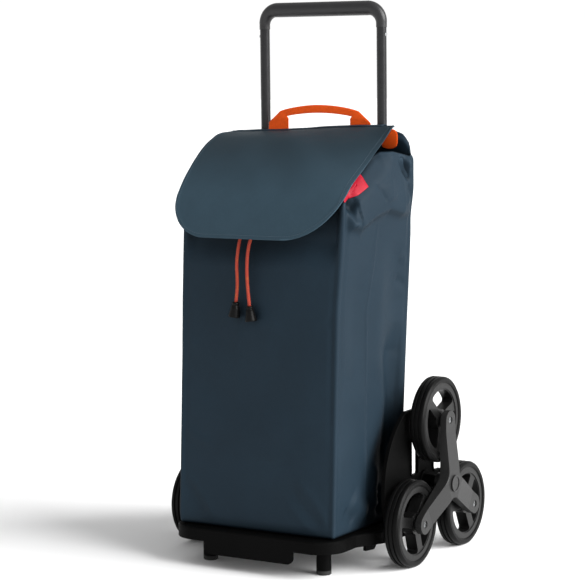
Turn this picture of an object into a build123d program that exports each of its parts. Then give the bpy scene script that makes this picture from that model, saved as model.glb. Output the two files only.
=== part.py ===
from build123d import *
import math
import os

# A folding shopping trolley: a tubular steel back frame with a moulded grip, a fabric bag
# with a lid, a fold-up plastic tray on two feet, and a three-wheel stair-climbing spider
# on each side.
#
# Millimetres. The bag's front faces -Y, the frame is at the back (+Y), X runs across the
# trolley along the axle and +Z is up. The origin is on the floor under the middle of the
# overall box.

# ---------------------------------------------------------------- driving dimensions
HEIGHT = 1020.0                 # floor to the top of the grip
FRONT_Y = -235.4                # front face of the tray

WHEEL_R = 79.0                  # tyre tread radius
WHEEL_IN = 214.0                # inner and outer side faces of a tyre
WHEEL_OUT = 243.0
TYRE_INNER_R = 67.5             # seat of the tyre on the rim
WINDOW_R = 55.5                 # outside of the openings between the spokes
HUB_R = 19.0                    # inside of those openings
SPOKE_COUNT = 3
SPOKE_WIDTH = 18.0
BOLT_R = 4.0                    # bolt that a wheel turns on
RUNNING_FIT = 0.06              # radial clearance of what turns

HUB_CIRCLE = 116.5              # axle to each wheel's hub
AXLE_R = 7.0
AXLE_Y = 55.5
AXLE_Z = WHEEL_R + HUB_CIRCLE / 2
SPIDER_IN = 247.0               # inner and outer faces of the spider plate
SPIDER_OUT = 259.0
SPIDER_CENTRE_OUT = 267.0       # raised middle, from which the arms slope to their tips
CAP_OUT = 270.0                 # face of the round cap

GUARD_IN = 200.0                # inner face of a wheel guard
GUARD_OUT = 204.0
GUARD_RIM_OUT = 207.0
GUARD_R = 160.0                 # front edge, an arc about the axle
GUARD_TOP = 277.0

UPRIGHT_X = 125.0
UPRIGHT_Y = 45.5
UPRIGHT_R = 9.15
TUBE_WALL = 1.5
UPRIGHT_BOTTOM = 151.0
UPRIGHT_TOP = 979.0
BRACKET_SCREW_Z = 185.0
CROSS_BAR_R = 7.0
CROSS_BAR_HEIGHTS = {"cross_bar_lower": 300.0, "cross_bar_upper": 758.0}

GRIP_END = 971.0                # lower ends of the grip moulding
GRIP_LEG_R = 10.0
GRIP_BAR_R = 13.5
GRIP_BEND_R = 27.0              # centre line of its corners
RIVET_Z = 958.0

TRAY_TOP = 71.0
TRAY_RIM_BOTTOM = 49.0
TRAY_HALF_FRONT = 173.0
TRAY_REAR_Y = 30.0
TRAY_WALL = 5.0
SKIRT_BOTTOM = 26.0
SKIRT_HALF = 92.0
PIVOT_ARM_X = 66.0
FOOT_X = 120.5
FOOT_Y = -173.5
FOOT_R = 13.5
FOOT_TIP_H = 8.0

BAG_BOTTOM = 71.6
FABRIC = 2.0                    # solid thickness given to the fabric panels
BAG_FRONT_BOTTOM_Y = -211.5
BAG_FRONT_TOP_Y = -181.5
BAG_HALF_FRONT = 162.0
BAG_HALF_REAR_BOTTOM = 168.0
BAG_HALF_REAR_TOP = 195.0
BAG_BACK_Y = 26.0               # inner face of the back panel
NECK_FRONT_Z = 660.0
NECK_REAR_Z = 745.0
MOUTH = (120.0, 62.0)           # half-axes of the drawstring mouth

LID_HALF = 174.0
LID_REAR = (22.0, 797.0)        # hinge edge of the lid, in Y and Z
LID_T = 3.0

CORD_R = 3.0
BELL_LENGTH = 27.0

SIDES = {"left": -1, "right": 1}
WHEEL_PLACES = {"top": 90, "front": 210, "rear": 330}      # bearing of each hub
SPOKE_BEARINGS = {"top": 140, "front": 167, "rear": 177}   # bearing of one spoke

os.makedirs("parts", exist_ok=True)


def save(piece, name):
    """Label a finished sub-part and write its STEP."""
    piece.part.label = name
    export_step(piece.part, "parts/" + name + ".step")


def side_plane(x, y=0.0, z=0.0, bearing=0.0):
    """A plane across X at (x, y, z), its local x along the bearing from +Y towards +Z."""
    turn = math.radians(bearing)
    return Plane(origin=(x, y, z), x_dir=(0, math.cos(turn), math.sin(turn)), z_dir=(1, 0, 0))


def hub_centre(place):
    """Y and Z of the hub of the wheel at one place of a spider."""
    bearing = math.radians(WHEEL_PLACES[place])
    return AXLE_Y + HUB_CIRCLE * math.cos(bearing), AXLE_Z + HUB_CIRCLE * math.sin(bearing)


def between(a, b, share):
    """The point a share of the way from a to b."""
    return tuple(p + (q - p) * share for p, q in zip(a, b))


# ---------------------------------------------------------------- wheels
def make_tyre(side, s, place):
    hub_y, hub_z = hub_centre(place)
    width = WHEEL_OUT - WHEEL_IN
    groove = WHEEL_R - 2.2
    half = [(1, TYRE_INNER_R), (0, TYRE_INNER_R + 2.5), (0, WHEEL_R - 4), (2.4, WHEEL_R - 0.8),
            (4.6, WHEEL_R), (8.6, WHEEL_R), (9.1, groove), (11.5, groove), (12, WHEEL_R)]
    section = half + [(width - x, r) for x, r in reversed(half)]
    with BuildPart() as tyre:
        with BuildSketch(Plane.XZ.offset(-hub_y)):
            with BuildLine():
                Polyline([(s * (WHEEL_IN + x), hub_z + r) for x, r in section], close=True)
            make_face()
        revolve(axis=Axis((0, hub_y, hub_z), (1, 0, 0)))
    save(tyre, f"tyre_{side}_{place}")


def make_rim(side, s, place):
    hub_y, hub_z = hub_centre(place)
    bearing = SPOKE_BEARINGS[place]
    rim_in = WHEEL_IN + 2
    rim_out = WHEEL_OUT - 2
    spoke_recess = 1.5
    with BuildPart() as rim:
        with BuildSketch(side_plane(s * rim_in, hub_y, hub_z)):
            Circle(TYRE_INNER_R)
        extrude(amount=s * (rim_out - rim_in))
        with BuildSketch(side_plane(s * rim_in, hub_y, hub_z, bearing)) as windows:
            Circle(WINDOW_R)
            Circle(HUB_R, mode=Mode.SUBTRACT)
            with PolarLocations(0, SPOKE_COUNT):
                Rectangle(WINDOW_R + 5, SPOKE_WIDTH, align=(Align.MIN, Align.CENTER),
                          mode=Mode.SUBTRACT)
            fillet(windows.vertices(), radius=5)
        extrude(amount=s * (rim_out - rim_in), mode=Mode.SUBTRACT)
        for face_x, inward in ((rim_out, -1), (rim_in, 1)):
            with BuildSketch(side_plane(s * face_x, hub_y, hub_z)):
                Circle(WINDOW_R + 2)
                Circle(HUB_R - 4, mode=Mode.SUBTRACT)
            extrude(amount=s * inward * spoke_recess, mode=Mode.SUBTRACT)
        with BuildSketch(side_plane(s * (WHEEL_IN - 0.8), hub_y, hub_z)):
            Circle(11)
        extrude(amount=s * (WHEEL_OUT + 3 - WHEEL_IN + 0.8))
        with BuildSketch(side_plane(s * (WHEEL_IN - 1), hub_y, hub_z)):
            Circle(BOLT_R + RUNNING_FIT)
        extrude(amount=s * (WHEEL_OUT + 5 - WHEEL_IN), mode=Mode.SUBTRACT)
    save(rim, f"rim_{side}_{place}")


# ---------------------------------------------------------------- spiders
def make_spider(side, s):
    root_half = 21.0
    tip_half = 18.0
    slope_start = 24.0
    slope_end = 96.0
    with BuildPart() as spider:
        with BuildSketch(side_plane(s * SPIDER_IN, AXLE_Y, AXLE_Z)) as outline:
            with PolarLocations(0, 3, start_angle=90):
                Polygon((0, -root_half), (HUB_CIRCLE, -tip_half), (HUB_CIRCLE, tip_half),
                        (0, root_half), align=None)
            with PolarLocations(HUB_CIRCLE, 3, start_angle=90):
                Circle(tip_half)
            crotches = outline.vertices().sort_by_distance((0, 0, 0))[:3]
            fillet(crotches, radius=20)
        extrude(amount=s * (SPIDER_CENTRE_OUT - SPIDER_IN))
        outer_face = spider.faces().sort_by(Axis.X)[-1 if s > 0 else 0]
        chamfer(outer_face.edges(), length=1.2)
        for bearing in WHEEL_PLACES.values():
            along = side_plane(0, bearing=bearing).x_dir
            outward = Vector(s, 0, 0)
            across = along.cross(outward)
            with BuildSketch(Plane(origin=(0, AXLE_Y, AXLE_Z), x_dir=along, z_dir=across)):
                Polygon((slope_start, SPIDER_CENTRE_OUT), (slope_end, SPIDER_OUT),
                        (HUB_CIRCLE + 40, SPIDER_OUT), (HUB_CIRCLE + 40, SPIDER_OUT + 20),
                        (slope_start, SPIDER_OUT + 20), align=None)
            extrude(amount=40, both=True, mode=Mode.SUBTRACT)
        with BuildSketch(side_plane(s * (SPIDER_IN - 14), AXLE_Y, AXLE_Z)):
            Circle(17)
        extrude(amount=s * 14)
        with BuildSketch(side_plane(s * (SPIDER_IN - 15), AXLE_Y, AXLE_Z)):
            Circle(AXLE_R + RUNNING_FIT)
        extrude(amount=s * 40, mode=Mode.SUBTRACT)
        with BuildSketch(side_plane(s * (SPIDER_CENTRE_OUT - 5), AXLE_Y, AXLE_Z)):
            Circle(12)
        extrude(amount=s * 6, mode=Mode.SUBTRACT)
        for place in WHEEL_PLACES:
            hub_y, hub_z = hub_centre(place)
            with BuildSketch(side_plane(s * (SPIDER_IN - 1), hub_y, hub_z)):
                Circle(BOLT_R)
            extrude(amount=s * 14, mode=Mode.SUBTRACT)
            with BuildSketch(side_plane(s * (SPIDER_OUT - 6), hub_y, hub_z)):
                Circle(6.6)
            extrude(amount=s * 7, mode=Mode.SUBTRACT)
    save(spider, f"spider_{side}")


def make_spider_cap(side, s):
    with BuildPart() as cap:
        with BuildSketch(side_plane(s * SPIDER_CENTRE_OUT, AXLE_Y, AXLE_Z)):
            Circle(15.5)
        extrude(amount=s * (CAP_OUT - SPIDER_CENTRE_OUT))
        with BuildSketch(side_plane(s * (CAP_OUT - 1.2), AXLE_Y, AXLE_Z)):
            Circle(12.8)
        extrude(amount=s * 2, mode=Mode.SUBTRACT)
        with BuildSketch(side_plane(s * (SPIDER_CENTRE_OUT - 1.5), AXLE_Y, AXLE_Z)):
            Circle(12)
        extrude(amount=s * 1.5)
    save(cap, f"spider_cap_{side}")


def make_wheel_bolts(side, s):
    head_bottom = SPIDER_OUT - 6
    nut_in = WHEEL_IN - 5.2
    with BuildPart() as bolts:
        for place in WHEEL_PLACES:
            hub_y, hub_z = hub_centre(place)
            with BuildSketch(side_plane(s * (nut_in - 0.4), hub_y, hub_z)):
                Circle(BOLT_R)
            extrude(amount=s * (head_bottom - nut_in + 0.4))
            with BuildSketch(side_plane(s * head_bottom, hub_y, hub_z)):
                Circle(6.4)
            extrude(amount=s * 3.6)
            with BuildSketch(side_plane(s * (head_bottom + 1.4), hub_y, hub_z)):
                RegularPolygon(3, 6)
            extrude(amount=s * 3, mode=Mode.SUBTRACT)
        for place in WHEEL_PLACES:
            hub_y, hub_z = hub_centre(place)
            with BuildSketch(side_plane(s * nut_in, hub_y, hub_z)):
                RegularPolygon(7, 6)
                Circle(BOLT_R + 0.02, mode=Mode.SUBTRACT)
            extrude(amount=s * 4.0)
    save(bolts, f"wheel_bolts_{side}")


# ---------------------------------------------------------------- axle and its fittings
def make_axle():
    half = SPIDER_CENTRE_OUT - 2
    with BuildPart() as axle:
        with BuildSketch(side_plane(-half, AXLE_Y, AXLE_Z)):
            Circle(AXLE_R)
        extrude(amount=2 * half)
        chamfer(axle.edges().filter_by(GeomType.CIRCLE), length=0.8)
    save(axle, "axle")


def make_axle_spacer(side, s):
    start = GUARD_RIM_OUT + 1.5
    with BuildPart() as spacer:
        with BuildSketch(side_plane(s * start, AXLE_Y, AXLE_Z)):
            Circle(12)
            Circle(AXLE_R, mode=Mode.SUBTRACT)
        extrude(amount=s * (SPIDER_IN - 14.5 - start))
    save(spacer, f"axle_spacer_{side}")


def make_axle_retainers():
    with BuildPart() as retainers:
        for s in SIDES.values():
            with BuildSketch(side_plane(s * (SPIDER_CENTRE_OUT - 4.6), AXLE_Y, AXLE_Z)):
                Circle(11)
                Circle(AXLE_R, mode=Mode.SUBTRACT)
            extrude(amount=s * 1.6)
    save(retainers, "axle_retainers")


def make_axle_bracket(side, s):
    centre = s * UPRIGHT_X
    half = 18.0
    top = 205.0
    with BuildPart() as bracket:
        with BuildSketch(side_plane(centre - half)) as shape:
            Polygon((31, 120), (72, 120), (72, 165), (60, top), (31, top), align=None)
            fillet(shape.vertices(), radius=5)
        extrude(amount=2 * half)
        with BuildSketch(Plane.XY.offset(UPRIGHT_BOTTOM)):
            with Locations((centre, UPRIGHT_Y)):
                Circle(UPRIGHT_R)
        extrude(amount=top - UPRIGHT_BOTTOM + 5, mode=Mode.SUBTRACT)
        with BuildSketch(side_plane(centre - half - 1, AXLE_Y, AXLE_Z)):
            Circle(AXLE_R)
        extrude(amount=2 * half + 2, mode=Mode.SUBTRACT)
        with BuildSketch(Plane.XZ.offset(-20)):
            with Locations((centre, BRACKET_SCREW_Z)):
                Circle(2.5)
        extrude(amount=-60, mode=Mode.SUBTRACT)
    save(bracket, f"axle_bracket_{side}")


def make_bracket_screws():
    """The screws that pin the uprights in their brackets, from behind."""
    with BuildPart() as screws:
        with BuildSketch(Plane.XZ.offset(-31)):
            with Locations((-UPRIGHT_X, BRACKET_SCREW_Z), (UPRIGHT_X, BRACKET_SCREW_Z)):
                Circle(2.5)
        extrude(amount=-38)
        with BuildSketch(Plane.XZ.offset(-69)):
            with Locations((-UPRIGHT_X, BRACKET_SCREW_Z), (UPRIGHT_X, BRACKET_SCREW_Z)):
                Circle(5)
        extrude(amount=-3)
    save(screws, "bracket_screws")


# ---------------------------------------------------------------- back frame
def make_upright(side, s):
    with BuildPart() as upright:
        with BuildSketch(Plane.XY.offset(UPRIGHT_BOTTOM)):
            with Locations((s * UPRIGHT_X, UPRIGHT_Y)):
                Circle(UPRIGHT_R)
                Circle(UPRIGHT_R - TUBE_WALL, mode=Mode.SUBTRACT)
        extrude(amount=UPRIGHT_TOP - UPRIGHT_BOTTOM)
        with BuildSketch(side_plane(s * UPRIGHT_X, UPRIGHT_Y, RIVET_Z)):
            Circle(2.4)
        extrude(amount=s * 20, mode=Mode.SUBTRACT)
        with BuildSketch(Plane.XZ.offset(-20)):
            with Locations((s * UPRIGHT_X, BRACKET_SCREW_Z)):
                Circle(2.5)
        extrude(amount=-60, mode=Mode.SUBTRACT)
    save(upright, f"upright_{side}")


def make_cross_bar(name, height):
    with BuildPart() as bar:
        with BuildSketch(side_plane(-UPRIGHT_X, UPRIGHT_Y, height)):
            Circle(CROSS_BAR_R)
            Circle(CROSS_BAR_R - TUBE_WALL, mode=Mode.SUBTRACT)
        extrude(amount=2 * UPRIGHT_X)
        with BuildSketch(Plane.XY.offset(height - 20)):
            with Locations((-UPRIGHT_X, UPRIGHT_Y), (UPRIGHT_X, UPRIGHT_Y)):
                Circle(UPRIGHT_R)
        extrude(amount=40, mode=Mode.SUBTRACT)
    save(bar, name)


def make_grip():
    """The moulded grip: a thick bar whose bends taper down to the uprights."""
    bar_z = HEIGHT - GRIP_BAR_R
    bend_x = UPRIGHT_X - GRIP_BEND_R
    bend_z = bar_z - GRIP_BEND_R
    bend_sections = 5
    with BuildPart() as grip:
        with BuildSketch(Plane.YZ.offset(-bend_x)):
            with Locations((UPRIGHT_Y, bar_z)):
                Circle(GRIP_BAR_R)
        extrude(amount=2 * bend_x)
        for s in SIDES.values():
            for i in range(bend_sections):
                share = i / (bend_sections - 1)
                turn = math.radians(90 * share)
                centre = (s * (bend_x + GRIP_BEND_R * math.cos(turn)), UPRIGHT_Y,
                          bend_z + GRIP_BEND_R * math.sin(turn))
                ahead = (-s * math.sin(turn), 0, math.cos(turn))
                with BuildSketch(Plane(origin=centre, x_dir=(0, 1, 0), z_dir=ahead)):
                    Circle(GRIP_LEG_R + (GRIP_BAR_R - GRIP_LEG_R) * share)
            loft()
            with BuildSketch(Plane.XY.offset(GRIP_END)):
                with Locations((s * UPRIGHT_X, UPRIGHT_Y)):
                    Circle(GRIP_LEG_R)
            extrude(amount=bend_z - GRIP_END)
            with BuildSketch(Plane.XY.offset(GRIP_END - 1)):
                with Locations((s * UPRIGHT_X, UPRIGHT_Y)):
                    Circle(UPRIGHT_R)
            extrude(amount=UPRIGHT_TOP - GRIP_END + 1, mode=Mode.SUBTRACT)
    save(grip, "handle_grip")


def make_rivets():
    with BuildPart() as rivets:
        for s in SIDES.values():
            wall_x = UPRIGHT_X + UPRIGHT_R
            with BuildSketch(side_plane(s * (wall_x - 6), UPRIGHT_Y, RIVET_Z)):
                Circle(2.4)
            extrude(amount=s * 6.2)
            with BuildSketch(side_plane(s * (wall_x + 0.2), UPRIGHT_Y, RIVET_Z)):
                Circle(3.6)
            extrude(amount=s * 1.0, taper=25)
    save(rivets, "handle_rivets")


# ---------------------------------------------------------------- tray, guards and feet
def guard_screw_places():
    """Y and Z of the screws that hold a wheel guard to the tray's side."""
    return [(y, 60.0) for y in (-70.0, -25.0, 20.0)]


def make_tray():
    rib_t = 3.0
    inner_top = TRAY_TOP - TRAY_WALL
    corners = [(TRAY_HALF_FRONT, FRONT_Y), (TRAY_HALF_FRONT, -150), (GUARD_IN, -98),
               (GUARD_IN, TRAY_REAR_Y)]
    ring = corners + [(-x, y) for x, y in reversed(corners)]
    with BuildPart() as tray:
        with BuildSketch(Plane.XY.offset(TRAY_RIM_BOTTOM)) as outline:
            Polygon(*ring, align=None)
            fillet(outline.vertices().group_by(Axis.Y)[0], radius=50)
            fillet(outline.vertices().filter_by_position(Axis.Y, -151, -97), radius=16)
        extrude(amount=TRAY_TOP - TRAY_RIM_BOTTOM)
        chamfer(tray.faces().sort_by(Axis.Z)[-1].edges().group_by(Axis.Y)[0], length=2)
        with BuildSketch(Plane.XY.offset(TRAY_RIM_BOTTOM)):
            offset(outline.sketch_local, amount=-TRAY_WALL, mode=Mode.ADD)
        extrude(amount=inner_top - TRAY_RIM_BOTTOM, mode=Mode.SUBTRACT)
        with BuildSketch(Plane.XY.offset(TRAY_TOP)):
            offset(outline.sketch_local, amount=-34, mode=Mode.ADD)
        extrude(amount=-1.6, mode=Mode.SUBTRACT)
        with BuildSketch(Plane.XY.offset(TRAY_RIM_BOTTOM + 3)):
            with Locations(*[(x, -100) for x in (-60, 0, 60)]):
                Rectangle(rib_t, 255)
            with Locations((0, -115), (0, -45)):
                Rectangle(330, rib_t)
        extrude(amount=inner_top - TRAY_RIM_BOTTOM - 3)
        with BuildSketch(Plane.XZ.offset(-FRONT_Y)) as skirt:
            Polygon((-SKIRT_HALF, TRAY_RIM_BOTTOM), (-SKIRT_HALF, SKIRT_BOTTOM),
                    (SKIRT_HALF, SKIRT_BOTTOM), (SKIRT_HALF, TRAY_RIM_BOTTOM), align=None)
            fillet(skirt.vertices().group_by(Axis.Y)[0], radius=12)
        extrude(amount=-TRAY_WALL)
        for s in SIDES.values():
            with BuildSketch(side_plane(s * (TRAY_HALF_FRONT + 2))) as lug:
                Polygon((-116, inner_top), (-116, 36), (-86, 33), (-66, TRAY_RIM_BOTTOM),
                        (-66, inner_top), align=None)
            extrude(amount=-s * 6)
            with BuildSketch(side_plane(s * (PIVOT_ARM_X - 6))):
                Polygon((20, TRAY_RIM_BOTTOM), (62, TRAY_RIM_BOTTOM), (69, AXLE_Z),
                        (42, AXLE_Z), (33, TRAY_TOP), (20, TRAY_TOP), align=None)
                with Locations((AXLE_Y, AXLE_Z)):
                    Circle(13.5)
                    Circle(AXLE_R + RUNNING_FIT, mode=Mode.SUBTRACT)
            extrude(amount=s * 12)
            for y, z in guard_screw_places():
                with BuildSketch(side_plane(s * (GUARD_IN - 8), y, z)):
                    Circle(2)
                extrude(amount=s * 10, mode=Mode.SUBTRACT)
        with BuildSketch(Plane.XY.offset(inner_top - 12)):
            with Locations((-FOOT_X, FOOT_Y), (FOOT_X, FOOT_Y)):
                Circle(FOOT_R + 3)
                Circle(FOOT_R, mode=Mode.SUBTRACT)
        extrude(amount=12)
    save(tray, "tray")


def make_foot(side, s):
    with BuildPart() as foot:
        with BuildSketch(Plane.XY.offset(FOOT_TIP_H)):
            with Locations((s * FOOT_X, FOOT_Y)):
                Circle(FOOT_R)
        extrude(amount=TRAY_TOP - TRAY_WALL - FOOT_TIP_H)
        with BuildSketch(Plane.XY.offset(FOOT_TIP_H - 4)):
            with Locations((s * FOOT_X, FOOT_Y)):
                Circle(FOOT_R - 5)
        extrude(amount=4)
    save(foot, f"foot_{side}")


def make_foot_tips():
    with BuildPart() as tips:
        with BuildSketch(Plane.XY):
            with Locations((-FOOT_X, FOOT_Y), (FOOT_X, FOOT_Y)):
                Circle(FOOT_R)
        extrude(amount=FOOT_TIP_H)
        chamfer(tips.edges().group_by(Axis.Z)[0], length=1.5)
        with BuildSketch(Plane.XY.offset(FOOT_TIP_H - 4)):
            with Locations((-FOOT_X, FOOT_Y), (FOOT_X, FOOT_Y)):
                Circle(FOOT_R - 5)
        extrude(amount=5, mode=Mode.SUBTRACT)
    save(tips, "foot_tips")


def make_guard(side, s):
    low_dz = TRAY_TOP - AXLE_Z
    low_y = AXLE_Y - math.sqrt(GUARD_R ** 2 - low_dz ** 2)
    top_dz = GUARD_TOP - AXLE_Z
    top_y = AXLE_Y - math.sqrt(GUARD_R ** 2 - top_dz ** 2)
    with BuildPart() as guard:
        with BuildSketch(side_plane(s * GUARD_IN)) as outline:
            with BuildLine():
                Line((-95, TRAY_RIM_BOTTOM), (low_y, TRAY_TOP))
                ThreePointArc((low_y, TRAY_TOP), (AXLE_Y - GUARD_R, AXLE_Z), (top_y, GUARD_TOP))
                Polyline((top_y, GUARD_TOP), (88.5, GUARD_TOP), (88.5, 150), (125, 150),
                         (125, 95), (64, TRAY_RIM_BOTTOM), (-95, TRAY_RIM_BOTTOM))
            make_face()
            fillet(outline.vertices().filter_by_position(Axis.X, 60, 130), radius=9)
            with Locations((14, 188)):
                RectangleRounded(25, 64, 4, mode=Mode.SUBTRACT)
        extrude(amount=s * (GUARD_OUT - GUARD_IN))
        with BuildSketch(side_plane(s * GUARD_OUT)):
            add(outline.sketch_local)
            offset(outline.sketch_local, amount=-3, mode=Mode.SUBTRACT)
        extrude(amount=s * (GUARD_RIM_OUT - GUARD_OUT))
        with BuildSketch(side_plane(s * GUARD_IN, AXLE_Y, AXLE_Z)):
            Circle(20)
        extrude(amount=s * (GUARD_RIM_OUT - GUARD_IN))
        with BuildSketch(side_plane(s * (GUARD_IN - 1), AXLE_Y, AXLE_Z)):
            Circle(10)
        extrude(amount=s * 12, mode=Mode.SUBTRACT)
        for y, z in guard_screw_places():
            with BuildSketch(side_plane(s * (GUARD_IN - 1), y, z)):
                Circle(2)
            extrude(amount=s * 6, mode=Mode.SUBTRACT)
        for z in (172, 197):
            with BuildSketch(side_plane(s * (GUARD_IN + 1), 1.5, z)):
                Rectangle(7, 2.5, align=(Align.MIN, Align.CENTER))
            extrude(amount=s * 2.5)
    save(guard, f"guard_{side}")


def make_guard_screws():
    with BuildPart() as screws:
        for s in SIDES.values():
            for y, z in guard_screw_places():
                with BuildSketch(side_plane(s * (GUARD_IN - 7), y, z)):
                    Circle(2)
                extrude(amount=s * (GUARD_OUT - GUARD_IN + 7))
                with BuildSketch(side_plane(s * GUARD_OUT, y, z)):
                    Circle(4.2)
                extrude(amount=s * 2.4, taper=20)
    save(screws, "guard_screws")


def make_pivot_bushes():
    with BuildPart() as bushes:
        for s in SIDES.values():
            with BuildSketch(side_plane(s * (GUARD_IN - 3), AXLE_Y, AXLE_Z)):
                Circle(13)
            extrude(amount=s * 3)
            with BuildSketch(side_plane(s * GUARD_IN, AXLE_Y, AXLE_Z)):
                Circle(10)
            extrude(amount=s * (GUARD_RIM_OUT - GUARD_IN + 1))
            with BuildSketch(side_plane(s * (GUARD_IN - 4), AXLE_Y, AXLE_Z)):
                Circle(AXLE_R + RUNNING_FIT)
            extrude(amount=s * 14, mode=Mode.SUBTRACT)
    save(bushes, "pivot_bushes")


# ---------------------------------------------------------------- bag
def make_bag_front():
    with BuildPart() as panel:
        with BuildSketch(side_plane(-BAG_HALF_FRONT)):
            Polygon((BAG_FRONT_BOTTOM_Y, BAG_BOTTOM), (BAG_FRONT_TOP_Y, NECK_FRONT_Z),
                    (BAG_FRONT_TOP_Y + FABRIC, NECK_FRONT_Z),
                    (BAG_FRONT_BOTTOM_Y + FABRIC, BAG_BOTTOM), align=None)
        extrude(amount=2 * BAG_HALF_FRONT)
        with BuildSketch(Plane.XZ.offset(-FRONT_Y)):
            with Locations((-14, 650), (14, 650)):
                Circle(4)
        extrude(amount=-80, mode=Mode.SUBTRACT)
    save(panel, "bag_front")


def neck_plane():
    """Plane of the bag's upper closing, sloping down to the front."""
    rise = (NECK_REAR_Z - NECK_FRONT_Z) / (BAG_BACK_Y - BAG_FRONT_TOP_Y)
    slope = math.atan(rise)
    middle_y = (BAG_BACK_Y + BAG_FRONT_TOP_Y) / 2
    middle_z = (NECK_REAR_Z + NECK_FRONT_Z) / 2
    return Plane(origin=(0, middle_y, middle_z), x_dir=(1, 0, 0),
                 z_dir=(0, -math.sin(slope), math.cos(slope)))


def make_bag_side(side, s):
    clear = FABRIC + 0.5
    sections = [(BAG_BOTTOM, BAG_FRONT_BOTTOM_Y + clear, BAG_HALF_REAR_BOTTOM),
                (NECK_REAR_Z, BAG_FRONT_TOP_Y + clear + 4, BAG_HALF_REAR_TOP)]
    with BuildPart() as panel:
        for height, front_y, half_rear in sections:
            with BuildSketch(Plane.XY.offset(height)):
                Polygon((s * BAG_HALF_FRONT, front_y), (s * half_rear, BAG_BACK_Y),
                        (s * (half_rear - FABRIC), BAG_BACK_Y),
                        (s * (BAG_HALF_FRONT - FABRIC), front_y), align=None)
        loft(ruled=True)
        split(bisect_by=neck_plane(), keep=Keep.BOTTOM)
    save(panel, f"bag_side_{side}")


def make_bag_back():
    half = [(BAG_HALF_REAR_BOTTOM, BAG_BOTTOM), (BAG_HALF_REAR_TOP, 600),
            (BAG_HALF_REAR_TOP, NECK_REAR_Z), (180, 772), (164, 785)]
    with BuildPart() as panel:
        with BuildSketch(Plane.XZ.offset(-BAG_BACK_Y - 0.4)):
            Polygon(*half, *[(-x, z) for x, z in reversed(half)], align=None)
        extrude(amount=-FABRIC)
    save(panel, "bag_back")


def make_bag_bottom():
    front = BAG_FRONT_BOTTOM_Y + FABRIC + 2
    half_front = BAG_HALF_FRONT - FABRIC - 1
    half_rear = BAG_HALF_REAR_BOTTOM - FABRIC - 1
    with BuildPart() as panel:
        with BuildSketch(Plane.XY.offset(BAG_BOTTOM)):
            Polygon((-half_front, front), (half_front, front), (half_rear, BAG_BACK_Y - 1),
                    (-half_rear, BAG_BACK_Y - 1), align=None)
        extrude(amount=FABRIC)
    save(panel, "bag_bottom")


def make_base_board():
    with BuildPart() as board:
        with BuildSketch(Plane.XY.offset(BAG_BOTTOM + FABRIC + 0.4)) as shape:
            with Locations((0, -92)):
                RectangleRounded(304, 222, 20)
        extrude(amount=3)
    save(board, "base_board")


def make_bag_neck():
    depth = math.hypot(BAG_BACK_Y - BAG_FRONT_TOP_Y, NECK_REAR_Z - NECK_FRONT_Z)
    front = -depth / 2 + FABRIC + 2
    rear = depth / 2 - 2
    with BuildPart() as neck:
        with BuildSketch(neck_plane()):
            Polygon((-BAG_HALF_FRONT + 5, front), (BAG_HALF_FRONT - 5, front),
                    (BAG_HALF_REAR_TOP - 8, rear), (-BAG_HALF_REAR_TOP + 8, rear), align=None)
            Ellipse(*MOUTH, mode=Mode.SUBTRACT)
        extrude(amount=-FABRIC)
    save(neck, "bag_neck")


def make_drawstring():
    """The gathered channel round the mouth with the cord inside it."""
    wide, deep = MOUTH
    with BuildPart() as channel:
        with BuildSketch(neck_plane()):
            Ellipse(wide + 8, deep + 8)
            Ellipse(wide, deep, mode=Mode.SUBTRACT)
        extrude(amount=8)
    save(channel, "drawstring_channel")


def make_eyelets():
    with BuildPart() as eyelets:
        with BuildSketch(Plane.XZ.offset(185)):
            with Locations((-14, 650), (14, 650)):
                Circle(7)
                Circle(3.9, mode=Mode.SUBTRACT)
        extrude(amount=-2)
    save(eyelets, "cord_eyelets")


def make_lid():
    """The lid: a curved stiff flap over the mouth, its front edge with rounded corners."""
    outer = [LID_REAR, (-25, 787), (-92, 762), (-150, 722), (-190, 676), (-215, 630),
             (-226, 600)]
    samples = 8
    with BuildPart() as lid:
        with BuildSketch(side_plane(-LID_HALF)):
            with BuildLine():
                top = Spline(*outer)
                inner = [top @ (i / samples)
                         + (top % (i / samples)).rotate(Axis.Z, 90) * LID_T
                         for i in range(samples + 1)]
                Line(top @ 1, inner[-1])
                Spline(*reversed(inner))
                Line(inner[0], top @ 0)
            make_face()
        extrude(amount=2 * LID_HALF)
        with BuildSketch(Plane.XZ.offset(230)) as front_view:
            Polygon((-LID_HALF, 599), (LID_HALF, 599), (LID_HALF, 800), (-LID_HALF, 800),
                    align=None)
            fillet(front_view.vertices().group_by(Axis.Y)[0], radius=70)
        extrude(amount=-260, mode=Mode.INTERSECT)
    save(lid, "lid_flap")


def make_carry_handle():
    half = [(106, 700), (106, 802), (90, 823), (0, 831)]
    inner = [(0, 814), (72, 807), (65, 796), (65, 700)]
    with BuildPart() as handle:
        with BuildSketch(Plane.XZ.offset(-BAG_BACK_Y - FABRIC - 0.8)):
            Polygon(*half, *inner, align=None)
            mirror(about=Plane.YZ)
        extrude(amount=-4)
    save(handle, "carry_handle")


def make_hang_tab(side, s):
    """A folded loop of webbing inside each upper rear corner, in front of the back panel."""
    with BuildPart() as tab:
        with BuildSketch(Plane.XZ.offset(-BAG_BACK_Y + 3.8)):
            with Locations((s * 152, 770)):
                RectangleRounded(36, 36, 9)
        extrude(amount=-3.8)
    save(tab, f"hang_tab_{side}")


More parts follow.
